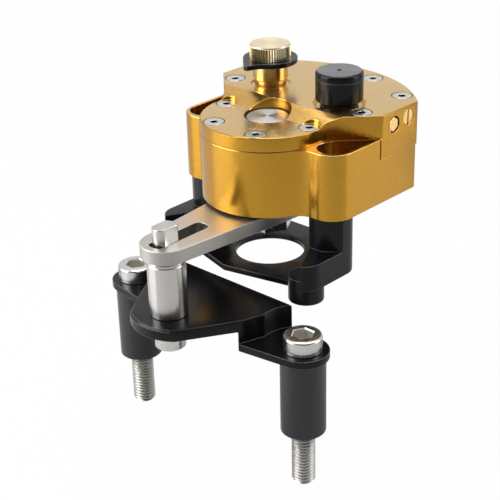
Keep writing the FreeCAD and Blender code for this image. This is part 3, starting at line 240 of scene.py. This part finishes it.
def blend_colours(tree, share, first, second, way="MIX"):
    """Mix two colours by a share; each of the three is a value or a socket."""
    node = add_node(tree, "ShaderNodeMix", data_type="RGBA", blend_type=way)
    for socket, value in ((node.inputs[0], share), (node.inputs[6], first), (node.inputs[7], second)):
        if isinstance(value, bpy.types.NodeSocket):
            tree.links.new(value, socket)
        else:
            socket.default_value = (*value, 1) if isinstance(value, tuple) else value
    return node.outputs[2]


def new_finish(name, metallic, settings):
    """A material and its Principled shader with the plain settings made."""
    material = bpy.data.materials.new(name)
    material.use_nodes = True
    shader = material.node_tree.nodes["Principled BSDF"]
    shader.inputs["Metallic"].default_value = metallic
    for label, value in settings.items():
        shader.inputs[label].default_value = value
    return material, material.node_tree, shader


def join_surface(tree, shader, surface, colour):
    """Wire a surface group and its shaded colour to the shader."""
    shaded = blend_colours(tree, 1.0, colour, surface.outputs["Shade"], "MULTIPLY")
    tree.links.new(shaded, shader.inputs["Base Color"])
    tree.links.new(surface.outputs["Roughness"], shader.inputs["Roughness"])
    tree.links.new(surface.outputs["Normal"], shader.inputs["Normal"])


def painted_edge_highlight(tree, colour, edge_colour, width=0.0003):
    """The colour, blended to the edge colour along sharp edges: a painted highlight where that colour
    is paler.
    """
    mask = place_group(tree, edges, Width=width).outputs["Mask"]
    return blend_colours(tree, mask, colour, edge_colour)


BLACK = (0.004, 0.004, 0.005)
# Pale grey painted along the black edges: a painted highlight.
BLACK_EDGE_HIGHLIGHT = (0.30, 0.30, 0.31)

black_gloss, black_tree, black_shader = new_finish(
    "black_anodised", 0, {"Specular IOR Level": 0.22})
black_surface = place_group(black_tree, grain, Stretch=(900, 900, 900), Smooth=0.2, Rough=0.27,
                            Depth=0)
join_surface(black_tree, black_shader, black_surface,
             painted_edge_highlight(black_tree, BLACK, BLACK_EDGE_HIGHLIGHT, 0.0004))


def cad_copy(*names):
    """The outside of CAD nodes with their loose triangles joined into whole faces."""
    shape = bmesh.new()
    for name in names:
        shape.from_mesh(nodes[name].data)
    bmesh.ops.remove_doubles(shape, verts=shape.verts, dist=0.000001)
    bmesh.ops.dissolve_limit(shape, angle_limit=math.radians(0.4), verts=shape.verts,
                             edges=shape.edges)
    wide = [face for face in shape.faces if len(face.verts) > 4]
    bmesh.ops.triangulate(shape, faces=wide, quad_method="BEAUTY", ngon_method="BEAUTY")
    return shape


def break_edges(shape, width):
    """Round every edge that turns by more than 50 degrees."""
    limit = math.radians(50)
    sharp = [e for e in shape.edges if len(e.link_faces) == 2 and e.calc_face_angle() > limit]
    bmesh.ops.bevel(shape, geom=sharp, offset=width, offset_type="OFFSET", segments=2,
                    profile=0.5, affect="EDGES", clamp_overlap=False, material=-1)


def finished(name, shape, body, materials, replaced):
    """Make the piece, give it its materials and fix it to the body it rides on."""
    mesh = bpy.data.meshes.new(name)
    shape.to_mesh(mesh)
    shape.free()
    mesh.shade_smooth()
    mesh.set_sharp_from_angle(angle=math.radians(32))
    for material in materials:
        mesh.materials.append(material)
    piece = bpy.data.objects.new(name, mesh)
    scene.collection.objects.link(piece)
    even = piece.modifiers.new("even_normals", "WEIGHTED_NORMAL")
    even.mode = "FACE_AREA"
    even.keep_sharp = True
    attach(piece, body)
    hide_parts(*replaced)
    return piece


clamp = cad_copy("clamp_bracket")
break_edges(clamp, 0.0004)
finished("clamp_block", clamp, "damper", [black_gloss], ["clamp_bracket"])

# Housing and cover: two gold anodised aluminium blocks, milled together so that their walls
# run through, with faced tops, bolt wells and a fine groove at the joint between them. Inside the
# wells the gold is painted bright as light, and the paler tops are partly a painted reflection.

# Share of the faces that point up, where the gold is paler: partly the faced finish, partly a painted
# reflection of the overhead light.
top_finish_and_sheen_mask, upward_in, upward_out = new_group(
    "upward", (("From", "NodeSocketFloat", 0.85),), (("Mask", "NodeSocketFloat"),))
upward_geometry = add_node(top_finish_and_sheen_mask, "ShaderNodeNewGeometry")
upward_parts = add_node(top_finish_and_sheen_mask, "ShaderNodeSeparateXYZ")
top_finish_and_sheen_mask.links.new(upward_geometry.outputs["True Normal"], upward_parts.inputs["Vector"])
top_finish_and_sheen_mask.links.new(
    spread(top_finish_and_sheen_mask, upward_parts.outputs["Z"], upward_in.outputs["From"], 0.99, 0, 1),
    upward_out.inputs["Mask"])

GOLD_WALL = (0.56, 0.29, 0.032)
# Bright gold inside the bolt wells: painted light. The flank plugs and sweep screws also take this
# bright gold.
GOLD_WELL_LIGHT = (0.96, 0.66, 0.26)
# Paler gold of the upward faces: partly the faced finish, partly a painted reflection of the overhead
# light.
GOLD_TOP_FINISH_AND_SHEEN = (0.70, 0.47, 0.19)
# Pale gold painted along the gold edges: a painted highlight.
GOLD_EDGE_HIGHLIGHT = (0.92, 0.74, 0.38)
SINK_SHADE = (0.03, 0.02, 0.01)


def gold_finish(name, wall, fineness, smooth, rough):
    """Gold anodised aluminium: walls in their own tone; upward faces paler, partly for their facing and
    partly as a painted reflection of the overhead light; edges with a painted highlight.
    """
    material, tree, shader = new_finish(
        name, 1, {"Coat Weight": 0.12, "Coat Roughness": 0.12})
    stretch = (fineness, fineness, fineness)
    surface = place_group(tree, grain, Stretch=stretch, Smooth=smooth, Rough=rough, Depth=0)
    faced_and_sheen_share = place_group(tree, top_finish_and_sheen_mask).outputs["Mask"]
    colour = blend_colours(tree, faced_and_sheen_share, wall, GOLD_TOP_FINISH_AND_SHEEN)
    join_surface(tree, shader, surface, painted_edge_highlight(tree, colour, GOLD_EDGE_HIGHLIGHT))
    return material


gold_milled = gold_finish("gold_milled", GOLD_WALL, 800, 0.22, 0.27)
sink_shade = gold_finish("sink_shade", SINK_SHADE, 800, 0.3, 0.4)
gold_bright_and_well_light = gold_finish("gold_bright_and_well_light", GOLD_WELL_LIGHT, 300, 0.2, 0.28)


def around(vert, spot):
    """Radius and angle of a vertex about the spot, in millimetres and radians."""
    x = vert.co.x * 1000 - spot[0]
    y = vert.co.y * 1000 - spot[1]
    return math.hypot(x, y), math.atan2(y, x)


def set_radius(vert, spot, radius, angle):
    """Move a vertex to the radius and angle about the spot, at its own height."""
    vert.co.x = (spot[0] + radius * math.cos(angle)) / 1000
    vert.co.y = (spot[1] + radius * math.sin(angle)) / 1000


WELL_ACROSS = 36.2
WELL_REACH = 7.4
WELL_FLOOR = 9.9
WELL_LIGHT = 1
SHADED = 2


def paint_well_light(shape):
    """Faces inside the bolt wells and the scooped corners get a bright gold: painted light in these
    recesses.
    """
    for face in shape.faces:
        middle = face.calc_center_median() * 1000
        flat = abs(face.normal.z) > 0.9
        near_well = math.hypot(abs(middle.x) - WELL_ACROSS, middle.y) < WELL_REACH
        if middle.z > WELL_FLOOR and near_well and not flat:
            face.material_index = WELL_LIGHT


housing = cad_copy("housing")
paint_well_light(housing)
break_edges(housing, 0.0003)
finished("housing_block", housing, "damper", [gold_milled, gold_bright_and_well_light],
         ["housing"])

SINK_RADIUS = 4.75
COVER_SCREWS = [(side * x, y, z) for side in (-1, 1) for x, y, z in (
    (23.3, -0.5, 35), (11.7, -20.15, 35), (35.5, 18, 39), (35.7, 45.2, 39), (11.8, 56, 39))]


def widen_sinks(shape, reach):
    """Open the mouth of every screw sink to the given radius and mark its cone for the dark gold:
    painted shade in the gap round each head.
    """
    for x, y, z in COVER_SCREWS:
        for vert in shape.verts:
            distance, angle = around(vert, (x, y))
            if 3.8 < distance < 4.4 and abs(vert.co.z * 1000 - z) < 0.01:
                set_radius(vert, (x, y), reach, angle)
        for face in shape.faces:
            middle = face.calc_center_median() * 1000
            inside = math.hypot(middle.x - x, middle.y - y) < reach
            if inside and z - 3 < middle.z < z - 0.01 and 0.2 < face.normal.z < 0.95:
                face.material_index = SHADED


cover = cad_copy("top_cover")
paint_well_light(cover)
widen_sinks(cover, SINK_RADIUS)
break_edges(cover, 0.0003)
finished("cover_block", cover, "damper", [gold_milled, gold_bright_and_well_light, sink_shade],
         ["top_cover"])

# Side adjusters and plugs: small screws of gold anodised aluminium that sit flush in the
# flanks. The adjusters have a screwdriver slot and turn; the plugs are hexagons.

plugs = cad_copy("side_plugs")
break_edges(plugs, 0.00025)
finished("flank_plugs", plugs, "damper", [gold_bright_and_well_light], ["side_plugs"])
for hand in ("left", "right"):
    sweep = cad_copy("sweep_adjuster_" + hand)
    break_edges(sweep, 0.0002)
    finished("sweep_screw_" + hand, sweep, hand + "_adjuster", [gold_bright_and_well_light],
             ["sweep_adjuster_" + hand])

# Cover screws and bolts: bright stainless steel, cold headed with hexagon sockets. Ten
# countersunk screws hold the cover, and two cap screws stand at the bottom of the bolt wells.

SCREW_STEEL = (0.64, 0.63, 0.60)
# Near-black steel inside the cover screws' hex sockets: painted shade.
SOCKET_SHADE = (0.05, 0.05, 0.05)
# Pale steel painted along the edges of the plain steel pieces: a painted highlight.
SCREW_EDGE_HIGHLIGHT = (0.93, 0.92, 0.90)


def steel_finish(name, colour, stretch, smooth, rough, depth=0):
    """Plain metal with an even grain; the stretch is the grain's fineness along each axis."""
    material, tree, shader = new_finish(name, 1, {})
    surface = place_group(tree, grain, Stretch=stretch, Smooth=smooth, Rough=rough, Depth=depth)
    join_surface(tree, shader, surface, painted_edge_highlight(tree, colour, SCREW_EDGE_HIGHLIGHT))
    return material


screw_steel = steel_finish("screw_steel", SCREW_STEEL, (600, 600, 600), 0.2, 0.28, 0.0000002)
socket_shade = steel_finish("socket_shade", SOCKET_SHADE, (2500, 2500, 2500), 0.45, 0.6)


def turn_profile(shape, profile, spot, steps=96):
    """Spin a profile of (radius, height) in millimetres round a vertical axis through the spot."""
    axis = Vector((spot[0], spot[1], 0)) / 1000
    ring = [shape.verts.new(axis + Vector((r, 0, z)) / 1000) for r, z in profile]
    lines = [shape.edges.new(pair) for pair in zip(ring, ring[1:])]
    bmesh.ops.spin(shape, geom=ring + lines, cent=axis, axis=(0, 0, 1), dvec=(0, 0, 0),
                   angle=math.tau, steps=steps, use_merge=True, use_duplicate=False)
    bmesh.ops.remove_doubles(shape, verts=shape.verts, dist=0.000001)


def socket_rings(shape, spot, ring_radius, across_flats, low, high):
    """Push the rings of a round recess out to a hexagon."""
    for vert in shape.verts:
        radius, angle = around(vert, spot)
        height = vert.co.z * 1000
        if abs(radius - ring_radius) < 0.01 and low - 0.01 < height < high + 0.01:
            from_flat = angle % (math.pi / 3) - math.pi / 6
            set_radius(vert, spot, across_flats / 2 / math.cos(from_flat), angle)


def mark_socket(shape, spot, reach, low, high):
    """Give the faces inside a socket the second material of their piece."""
    for face in shape.faces:
        middle = face.calc_center_median() * 1000
        inside = math.hypot(middle.x - spot[0], middle.y - spot[1]) < reach
        if inside and low < middle.z < high:
            face.material_index = 1


def add_part(whole, part):
    """Turn the part's faces outwards and put it into the whole."""
    bmesh.ops.recalc_face_normals(part, faces=part.faces)
    spare = bpy.data.meshes.new("spare_part")
    part.to_mesh(spare)
    part.free()
    whole.from_mesh(spare)
    bpy.data.meshes.remove(spare)


HEAD_RADIUS = 4.15
SHANK_RADIUS = 2
SCREW_LENGTH = 16
SMALL_KEY = 3
SMALL_KEY_DEPTH = 1.6

screw_heads = bmesh.new()
for x, y, z in COVER_SCREWS:
    floor = z - SMALL_KEY_DEPTH
    tip = z - SCREW_LENGTH
    head = bmesh.new()
    turn_profile(head, [
        (0, floor - 0.1), (SMALL_KEY / 2, floor), (SMALL_KEY / 2, z - 0.1), (1.7, z), (4, z),
        (HEAD_RADIUS, z - 0.12), (HEAD_RADIUS, z - 0.4), (SHANK_RADIUS, z - 2.4),
        (SHANK_RADIUS, tip + 0.4), (SHANK_RADIUS - 0.4, tip), (0, tip)], (x, y), 48)
    socket_rings(head, (x, y), SMALL_KEY / 2, SMALL_KEY, floor, z - 0.1)
    socket_rings(head, (x, y), 1.7, SMALL_KEY + 0.35, z, z)
    mark_socket(head, (x, y), 1.6, floor - 0.2, z - 0.08)
    add_part(screw_heads, head)
finished("cover_screw_set", screw_heads, "damper", [screw_steel, socket_shade],
         ["cover_screws"])

bolts = cad_copy("mount_bolts")
break_edges(bolts, 0.0003)
finished("well_bolts", bolts, "damper", [screw_steel], ["mount_bolts"])

# Vane shaft: turned stainless steel with the vane milled on it. Its end is faced on the lathe
# and shows fine rings, and its highlights stretch across them.

turning, turning_in, turning_out = new_group(
    "turning", (("Centre", "NodeSocketVector", (0, 0, 0)), ("Fineness", "NodeSocketFloat", 3000))
    + SURFACE_INPUTS, SURFACE_OUTPUTS)
turning_place = add_node(turning, "ShaderNodeTexCoord")
turning_shift = add_node(turning, "ShaderNodeVectorMath", operation="SUBTRACT")
turning.links.new(turning_place.outputs["Object"], turning_shift.inputs[0])
turning.links.new(turning_in.outputs["Centre"], turning_shift.inputs[1])
turning_flat = add_node(turning, "ShaderNodeVectorMath", operation="MULTIPLY")
turning_flat.inputs[1].default_value = (1, 1, 0)
turning.links.new(turning_shift.outputs["Vector"], turning_flat.inputs[0])
turning_radius = add_node(turning, "ShaderNodeVectorMath", operation="LENGTH")
turning.links.new(turning_flat.outputs["Vector"], turning_radius.inputs[0])
turning_height = add_node(turning, "ShaderNodeSeparateXYZ")
turning.links.new(turning_shift.outputs["Vector"], turning_height.inputs["Vector"])
turning_line = add_node(turning, "ShaderNodeMath", operation="ADD")
turning.links.new(turning_radius.outputs["Value"], turning_line.inputs[0])
turning.links.new(turning_height.outputs["Z"], turning_line.inputs[1])
turning_noise = add_node(turning, "ShaderNodeTexNoise", noise_dimensions="1D")
turning_noise.inputs["Detail"].default_value = 2
turning.links.new(turning_line.outputs["Value"], turning_noise.inputs["W"])
turning.links.new(turning_in.outputs["Fineness"], turning_noise.inputs["Scale"])
surface_ends(turning, turning_in, turning_out, turning_noise.outputs["Fac"])


def turned_finish(name, colour, edge_colour, spot, smooth, rough, depth=0, metallic=1, settings=None):
    """A lathe finish: its highlights stretch across the turning marks round the spot."""
    centre = (spot[0] / 1000, spot[1] / 1000, 0)
    material, tree, shader = new_finish(name, metallic, settings or {})
    shader.inputs["Anisotropic"].default_value = 0.75
    shader.inputs["Anisotropic Rotation"].default_value = 0.25
    place = add_node(tree, "ShaderNodeTexCoord")
    reach = add_node(tree, "ShaderNodeVectorMath", operation="SUBTRACT")
    reach.inputs[1].default_value = centre
    tree.links.new(place.outputs["Object"], reach.inputs[0])
    along = add_node(tree, "ShaderNodeVectorMath", operation="CROSS_PRODUCT")
    along.inputs[1].default_value = (0, 0, 1)
    tree.links.new(reach.outputs["Vector"], along.inputs[0])
    tree.links.new(along.outputs["Vector"], shader.inputs["Tangent"])
    surface = place_group(tree, turning, Centre=centre, Smooth=smooth, Rough=rough, Depth=depth)
    join_surface(tree, shader, surface, painted_edge_highlight(tree, colour, edge_colour))
    return material


SHAFT_STEEL = (0.50, 0.48, 0.46)
# Pale steel painted along the turned steel edges: a painted highlight.
STEEL_EDGE_HIGHLIGHT = (0.92, 0.91, 0.88)
SHAFT_SPOT = (0, 0)

shaft_steel = turned_finish("shaft_steel", SHAFT_STEEL, STEEL_EDGE_HIGHLIGHT, SHAFT_SPOT, 0.4, 0.52, 0.000012)
rotor = cad_copy("vane_rotor")
break_edges(rotor, 0.0002)
finished("shaft_and_vane", rotor, "arm", [shaft_steel], ["vane_rotor"])

# Link arm: a stainless steel plate, cut to a taper and brushed along its length,
# with a milled slot for the pin. The slot's walls are left rough, and their steel is darker as painted
# shade.

ARM_STEEL = (0.46, 0.44, 0.41)
# Darker steel of the slot's walls: painted shade, on a rougher finish.
SLOT_SHADE_STEEL = (0.20, 0.18, 0.15)
SLOT_SIDE = 4.4
SLOT_FRONT = -69
SLOT_BACK = -39

arm_steel = steel_finish("arm_steel", ARM_STEEL, (1500, 40, 1500), 0.40, 0.5)
slot_shade_steel = steel_finish("slot_shade_steel", SLOT_SHADE_STEEL, (2000, 2000, 2000), 0.45, 0.6, 0.000004)
arm = cad_copy("link_arm")
break_edges(arm, 0.0003)
# The slot's walls take the darker steel: painted shade inside the slot.
for face in arm.faces:
    middle = face.calc_center_median() * 1000
    wall = abs(face.normal.z) < 0.1
    if wall and abs(middle.x) < SLOT_SIDE and SLOT_FRONT < middle.y < SLOT_BACK:
        face.material_index = 1
finished("arm_plate", arm, "arm", [arm_steel, slot_shade_steel], ["link_arm"])

# Tower: a post and the pin that stands in it, both turned from stainless bar. The pin has two
# milled flats that fit the slot, and the front end of its flattened head is rounded over.

TOWER_STEEL = (0.60, 0.58, 0.56)
TOWER_SPOT = (0, -62)
PIN_NECK = -7.5
ROUND_CENTRE = -63.4
ROUND_RADIUS = 4

tower_steel = turned_finish("tower_steel", TOWER_STEEL, STEEL_EDGE_HIGHLIGHT, TOWER_SPOT, 0.18, 0.26, 0.0000004)
pin = cad_copy("tower_pin")
for vert in pin.verts:
    x, y, z = vert.co * 1000
    if z > PIN_NECK and y < ROUND_CENTRE and abs(x) > 0.01:
        vert.co.y = (ROUND_CENTRE - math.sqrt(max(ROUND_RADIUS ** 2 - x * x, 0))) / 1000
break_edges(pin, 0.00025)
finished("sliding_pin", pin, "pin", [tower_steel], ["tower_pin"])
post = cad_copy("tower_post")
break_edges(post, 0.0002)
finished("tower_tube", post, "frame", [tower_steel], ["tower_post"])

# Frame bracket and spacers: black anodised aluminium, milled and turned. The tubes' highlights
# stretch along them, as on bar that has been drawn.

TUBE_BLACK = (0.006, 0.006, 0.008)

bracket = cad_copy("frame_bracket")
break_edges(bracket, 0.0004)
finished("bracket_plate", bracket, "frame", [black_gloss], ["frame_bracket"])
tube_black, tube_tree, tube_shader = new_finish("tube_black", 0, {"Specular IOR Level": 0.6})
tube_shader.inputs["Anisotropic"].default_value = 0.85
tube_axis = add_node(tube_tree, "ShaderNodeCombineXYZ")
tube_axis.inputs["X"].default_value = 0.01
tube_axis.inputs["Z"].default_value = 1
tube_tree.links.new(tube_axis.outputs["Vector"], tube_shader.inputs["Tangent"])
tube_surface = place_group(tube_tree, grain, Stretch=(900, 900, 60), Smooth=0.22, Rough=0.27,
                           Depth=0)
join_surface(tube_tree, tube_shader, tube_surface, painted_edge_highlight(tube_tree, TUBE_BLACK, BLACK_EDGE_HIGHLIGHT))
spacers = cad_copy("frame_spacers")
break_edges(spacers, 0.0003)
finished("spacer_tubes", spacers, "frame", [tube_black], ["frame_spacers"])

# Frame screws: M10 socket-head screws of stainless steel with knurled heads, through the ears
# and the spacers. The rolled thread stands out below; a third screw holds post and tongue.


def knurl(shape, spot, radius, low, high, ridges, depth):
    """Press straight ridges into a turned band whose rings have two steps to a ridge."""
    for vert in shape.verts:
        distance, angle = around(vert, spot)
        height = vert.co.z * 1000
        if abs(distance - radius) < 0.02 and low - 0.01 < height < high + 0.01:
            if round(angle / math.tau * ridges * 2) % 2:
                set_radius(vert, spot, distance - depth, angle)


def thread(shape, spot, radius, pitch, low, high, steps=36):
    """A screw thread as one helical skin, cut off level at both ends and closed there."""
    root = radius - pitch * 0.58
    turns = math.ceil((high - low) / pitch) + 2
    start = low - pitch
    helix = bmesh.new()
    axis = Vector((spot[0], spot[1], 0)) / 1000
    tooth = ((root, 0), (radius, pitch * 0.42), (radius, pitch * 0.58), (root, pitch))
    ring = [helix.verts.new(axis + Vector((r, 0, start + z)) / 1000) for r, z in tooth]
    lines = [helix.edges.new(pair) for pair in zip(ring, ring[1:])]
    bmesh.ops.spin(helix, geom=ring + lines, cent=axis, axis=(0, 0, 1),
                   dvec=(0, 0, pitch / steps / 1000), angle=math.tau * turns,
                   steps=steps * turns, use_merge=False, use_duplicate=False)
    bmesh.ops.remove_doubles(helix, verts=helix.verts, dist=0.000003)
    for height, outwards in ((low, -1), (high, 1)):
        everything = helix.verts[:] + helix.edges[:] + helix.faces[:]
        bmesh.ops.bisect_plane(helix, geom=everything, dist=0.0000001,
                               plane_co=(0, 0, height / 1000), plane_no=(0, 0, outwards),
                               clear_outer=True, clear_inner=False)
    for vert in helix.verts:
        distance, angle = around(vert, spot)
        allowed = root + (vert.co.z * 1000 - low)
        if distance > allowed:
            set_radius(vert, spot, allowed, angle)
    bmesh.ops.remove_doubles(helix, verts=helix.verts, dist=0.000003)
    bmesh.ops.holes_fill(helix, edges=helix.edges, sides=0)
    add_part(shape, helix)


THREAD_STEEL = (0.44, 0.43, 0.40)
SOCKET_STEEL = (0.60, 0.58, 0.53)
FRAME_REACH = 49.3
FRAME_DEPTH = -35.4
HEAD_SEAT = -43.6
HEAD_TOP = HEAD_SEAT + 7
CAP_HEAD_RADIUS = 8
LARGE_KEY = 8
LARGE_KEY_FLOOR = HEAD_SEAT + 2.6
PLAIN_SHANK = 4.5
THREAD_RADIUS = 5
THREAD_PITCH = 1.5
THREAD_TOP = -82
SCREW_TIP = -107

thread_steel = steel_finish("thread_steel", THREAD_STEEL, (900, 900, 900), 0.3, 0.4)
socket_steel = steel_finish("socket_steel", SOCKET_STEEL, (2500, 2500, 2500), 0.45, 0.6, 0.00001)
long_screws = bmesh.new()
for side in (-1, 1):
    spot = (side * FRAME_REACH, FRAME_DEPTH)
    part = bmesh.new()
    turn_profile(part, [
        (0, LARGE_KEY_FLOOR - 1), (LARGE_KEY / 2, LARGE_KEY_FLOOR), (LARGE_KEY / 2, HEAD_TOP - 0.4),
        (4.4, HEAD_TOP), (7, HEAD_TOP), (7.75, HEAD_TOP - 0.45), (CAP_HEAD_RADIUS, HEAD_TOP - 1),
        (CAP_HEAD_RADIUS, HEAD_SEAT + 5.5), (CAP_HEAD_RADIUS, HEAD_SEAT + 0.9),
        (CAP_HEAD_RADIUS, HEAD_SEAT + 0.4), (7.7, HEAD_SEAT), (PLAIN_SHANK, HEAD_SEAT),
        (PLAIN_SHANK, THREAD_TOP - 0.1), (0, THREAD_TOP - 0.1)], spot, 144)
    socket_rings(part, spot, LARGE_KEY / 2, LARGE_KEY, LARGE_KEY_FLOOR, HEAD_TOP - 0.4)
    socket_rings(part, spot, 4.4, LARGE_KEY + 0.8, HEAD_TOP, HEAD_TOP)
    knurl(part, spot, CAP_HEAD_RADIUS, HEAD_SEAT + 0.9, HEAD_SEAT + 5.5, 72, 0.16)
    mark_socket(part, spot, 4.6, LARGE_KEY_FLOOR - 1.1, HEAD_TOP - 0.5)
    plain = len(part.faces)
    thread(part, spot, THREAD_RADIUS, THREAD_PITCH, SCREW_TIP, THREAD_TOP)
    part.faces.ensure_lookup_table()
    for face in part.faces[plain:]:
        face.material_index = 2
    add_part(long_screws, part)
finished("frame_screw_pair", long_screws, "frame",
         [screw_steel, socket_steel, thread_steel], ["frame_screws"])
lower_bolt = cad_copy("tower_bolt")
break_edges(lower_bolt, 0.0003)
finished("post_bolt", lower_bolt, "frame", [screw_steel], ["tower_bolt"])

# Damping adjuster: a pale brass knob with a straight knurl, turned in one with the hub that
# carries its black lever, above a gold collar that is screwed into the cover.

KNOB_SPOT = (-19.2, 23.3)
BRASS = (0.90, 0.78, 0.52)
# Paler brass painted along the knob's edges: a painted highlight.
BRASS_EDGE_HIGHLIGHT = (0.95, 0.86, 0.62)
# Darker brass for one flank of every knurl ridge: painted shade.
KNURL_SHADE = (0.42, 0.30, 0.14)
# Paler brass painted along the edges of the shaded knurl flanks: a painted highlight.
KNURL_EDGE_HIGHLIGHT = (0.92, 0.82, 0.58)
KNOB_RADIUS = 8.95
KNOB_TOP = 56.8
KNOB_BASE = 50.8
KNURL_LOW = 51.1
KNURL_HIGH = 56
RIDGES = 48
HUB_RADIUS = 5
HUB_BASE = 48.6
BORE_RADIUS = 2.55
BORE_TOP = 55.2

brass = turned_finish("pale_brass", BRASS, BRASS_EDGE_HIGHLIGHT, KNOB_SPOT, 0.2, 0.34, 0.000001)
knurl_shade = turned_finish("knurl_shade", KNURL_SHADE, KNURL_EDGE_HIGHLIGHT, KNOB_SPOT, 0.3, 0.4)
knob = bmesh.new()
turn_profile(knob, [
    (0, BORE_TOP), (BORE_RADIUS, BORE_TOP), (BORE_RADIUS, HUB_BASE), (HUB_RADIUS, HUB_BASE),
    (HUB_RADIUS, KNOB_BASE), (8.6, KNOB_BASE), (KNOB_RADIUS, KNURL_LOW), (KNOB_RADIUS, KNURL_HIGH),
    (8.6, KNOB_TOP - 0.35), (8.55, KNOB_TOP), (0, KNOB_TOP)], KNOB_SPOT, RIDGES * 2)
knurl(knob, KNOB_SPOT, KNOB_RADIUS, KNURL_LOW, KNURL_HIGH, RIDGES, 0.5)
# One flank of every knurl ridge takes the darker brass: painted shade.
ridge_turn = 360 / RIDGES
for face in knob.faces:
    middle = face.calc_center_median() * 1000
    outwards = Vector((middle.x - KNOB_SPOT[0], middle.y - KNOB_SPOT[1], 0))
    if KNURL_LOW + 0.1 < middle.z < KNURL_HIGH - 0.1 and outwards.length > 8.2:
        bearing = math.degrees(math.atan2(outwards.y, outwards.x)) % ridge_turn
        face.material_index = 1 if bearing < ridge_turn / 2 else 0
bmesh.ops.recalc_face_normals(knob, faces=knob.faces)
finished("knurled_knob", knob, "knob", [brass, knurl_shade], ["adjuster_knob"])


LEVER_RADIUS = 11.9
LEVER_TIP = 16.9
LEVER_BORE = 5.1


def lever_reach(turn):
    """How far the lever's edge stands from the knob's axis, by the angle from its tip in degrees."""
    if -30 < turn < -6:
        return LEVER_RADIUS + (LEVER_TIP - LEVER_RADIUS) * ((turn + 30) / 24) ** 2.7
    if -6 <= turn <= 0:
        return LEVER_TIP
    if 0 < turn < 46:
        return LEVER_RADIUS / math.cos(math.radians(46 - turn))
    return LEVER_RADIUS


def lever_bore(turn):
    """How far the bore's edge stands from the knob's axis: the same all round."""
    return LEVER_BORE


lever = bmesh.new()
lever_heights = [vert.co.z for vert in nodes["knob_lever"].data.vertices]
lever_low, lever_high = min(lever_heights), max(lever_heights)
rims = []
for reach_of in (lever_reach, lever_bore):
    rim = []
    for turn in range(-180, 180, 3):
        bearing = math.radians(turn)
        x = KNOB_SPOT[0] - reach_of(turn) * math.sin(bearing)
        y = KNOB_SPOT[1] - reach_of(turn) * math.cos(bearing)
        rim.append(lever.verts.new((x / 1000, y / 1000, lever_low)))
    rims += [lever.edges.new((rim[index - 1], rim[index])) for index in range(len(rim))]
bmesh.ops.bridge_loops(lever, edges=rims)
raised = bmesh.ops.extrude_face_region(lever, geom=lever.faces[:])["geom"]
raised_verts = [item for item in raised if isinstance(item, bmesh.types.BMVert)]
bmesh.ops.translate(lever, verts=raised_verts, vec=(0, 0, lever_high - lever_low))
bmesh.ops.recalc_face_normals(lever, faces=lever.faces)
break_edges(lever, 0.00025)
finished("lever_disc", lever, "knob", [black_gloss], ["knob_lever"])

COLLAR_GOLD = (0.72, 0.50, 0.19)

gold_turned = turned_finish("gold_turned", COLLAR_GOLD, GOLD_EDGE_HIGHLIGHT, KNOB_SPOT, 0.2, 0.26)
collar = cad_copy("adjuster_collar")
break_edges(collar, 0.0002)
finished("collar_body", collar, "damper", [gold_turned], ["adjuster_collar"])

# Reservoir cap: black anodised aluminium, turned and screwed into the cover,
# with a fine groove near the top and a breather hole in its faced top. The top is a paler grey,
# partly for its facing and partly as a painted reflection of the overhead light.

CAP_SPOT = (20.5, 22)
CAP_FACE_HEIGHT = 0.0529
CAP_BLACK = (0.004, 0.004, 0.004)
# Grey painted along the cap's edges: a painted highlight.
CAP_EDGE_HIGHLIGHT = (0.16, 0.16, 0.165)
# Paler grey of the top face: partly its faced finish, partly a painted reflection of the overhead
# light.
CAP_TOP_FINISH_AND_SHEEN = (0.12, 0.12, 0.125)
CAP_FACE_EDGE = (0.1, 0.1, 0.105)

black_turned = turned_finish("black_turned", CAP_BLACK, CAP_EDGE_HIGHLIGHT, CAP_SPOT, 0.12, 0.16,
                             metallic=0, settings={"Specular IOR Level": 0.2})
cap_top_finish_and_sheen = turned_finish("cap_top_finish_and_sheen", CAP_TOP_FINISH_AND_SHEEN, CAP_FACE_EDGE, CAP_SPOT, 0.4, 0.5,
                         metallic=0, settings={"Specular IOR Level": 0.4})
cap = cad_copy("reservoir_cap")
break_edges(cap, 0.00015)
# The top face takes the paler grey: partly its facing, partly a painted reflection. Its rim gets a
# slightly darker line.
for face in cap.faces:
    on_top = face.normal.z > 0.99 and face.calc_center_median().z > CAP_FACE_HEIGHT
    face.material_index = 1 if on_top else 0
finished("cap_body", cap, "damper", [black_turned, cap_top_finish_and_sheen], ["reservoir_cap"])

# Inner pieces: rubber seals, bronze bushes, springs and small steel parts, seen only when the
# damper is taken apart. The compensator's spring shortens between its fixed top and the piston.

RUBBER = (0.02, 0.02, 0.02)
BRONZE = (0.55, 0.33, 0.14)
ALUMINIUM = (0.72, 0.72, 0.72)
WIRE = (0.38, 0.38, 0.39)

rubber, rubber_tree, rubber_shader = new_finish("seal_rubber", 0, {"Specular IOR Level": 0.3})
rubber_surface = place_group(rubber_tree, grain, Stretch=(2000, 2000, 2000), Smooth=0.55, Rough=0.75,
                             Depth=0.000006)
join_surface(rubber_tree, rubber_shader, rubber_surface, RUBBER)
bronze = steel_finish("bush_bronze", BRONZE, (900, 900, 900), 0.3, 0.5, 0.000004)
aluminium = steel_finish("piston_aluminium", ALUMINIUM, (500, 500, 2000), 0.2, 0.35, 0.000003)
spring_wire = steel_finish("spring_wire", WIRE, (1500, 1500, 1500), 0.25, 0.4, 0.000003)

coil = cad_copy("compensator_spring")
return_coil = finished("return_coil", coil, "damper", [spring_wire],
                       ["compensator_spring"])
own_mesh(return_coil)

KEPT_NODES = {
    "upper_bush": bronze, "lower_bush": bronze, "top_seal": rubber, "shaft_seal": rubber,
    "chamber_seal": rubber, "collar_seal": rubber, "cap_seal": rubber, "piston_ring": rubber,
    "compensator_piston": aluminium,
    "detent_spring": spring_wire, "detent_ball": screw_steel, "adjuster_needle": shaft_steel,
    "arm_washer": screw_steel, "arm_nut": screw_steel, "tower_washer": screw_steel,
}
for name, material in KEPT_NODES.items():
    mesh = nodes[name].data
    mesh.materials.clear()
    mesh.materials.append(material)
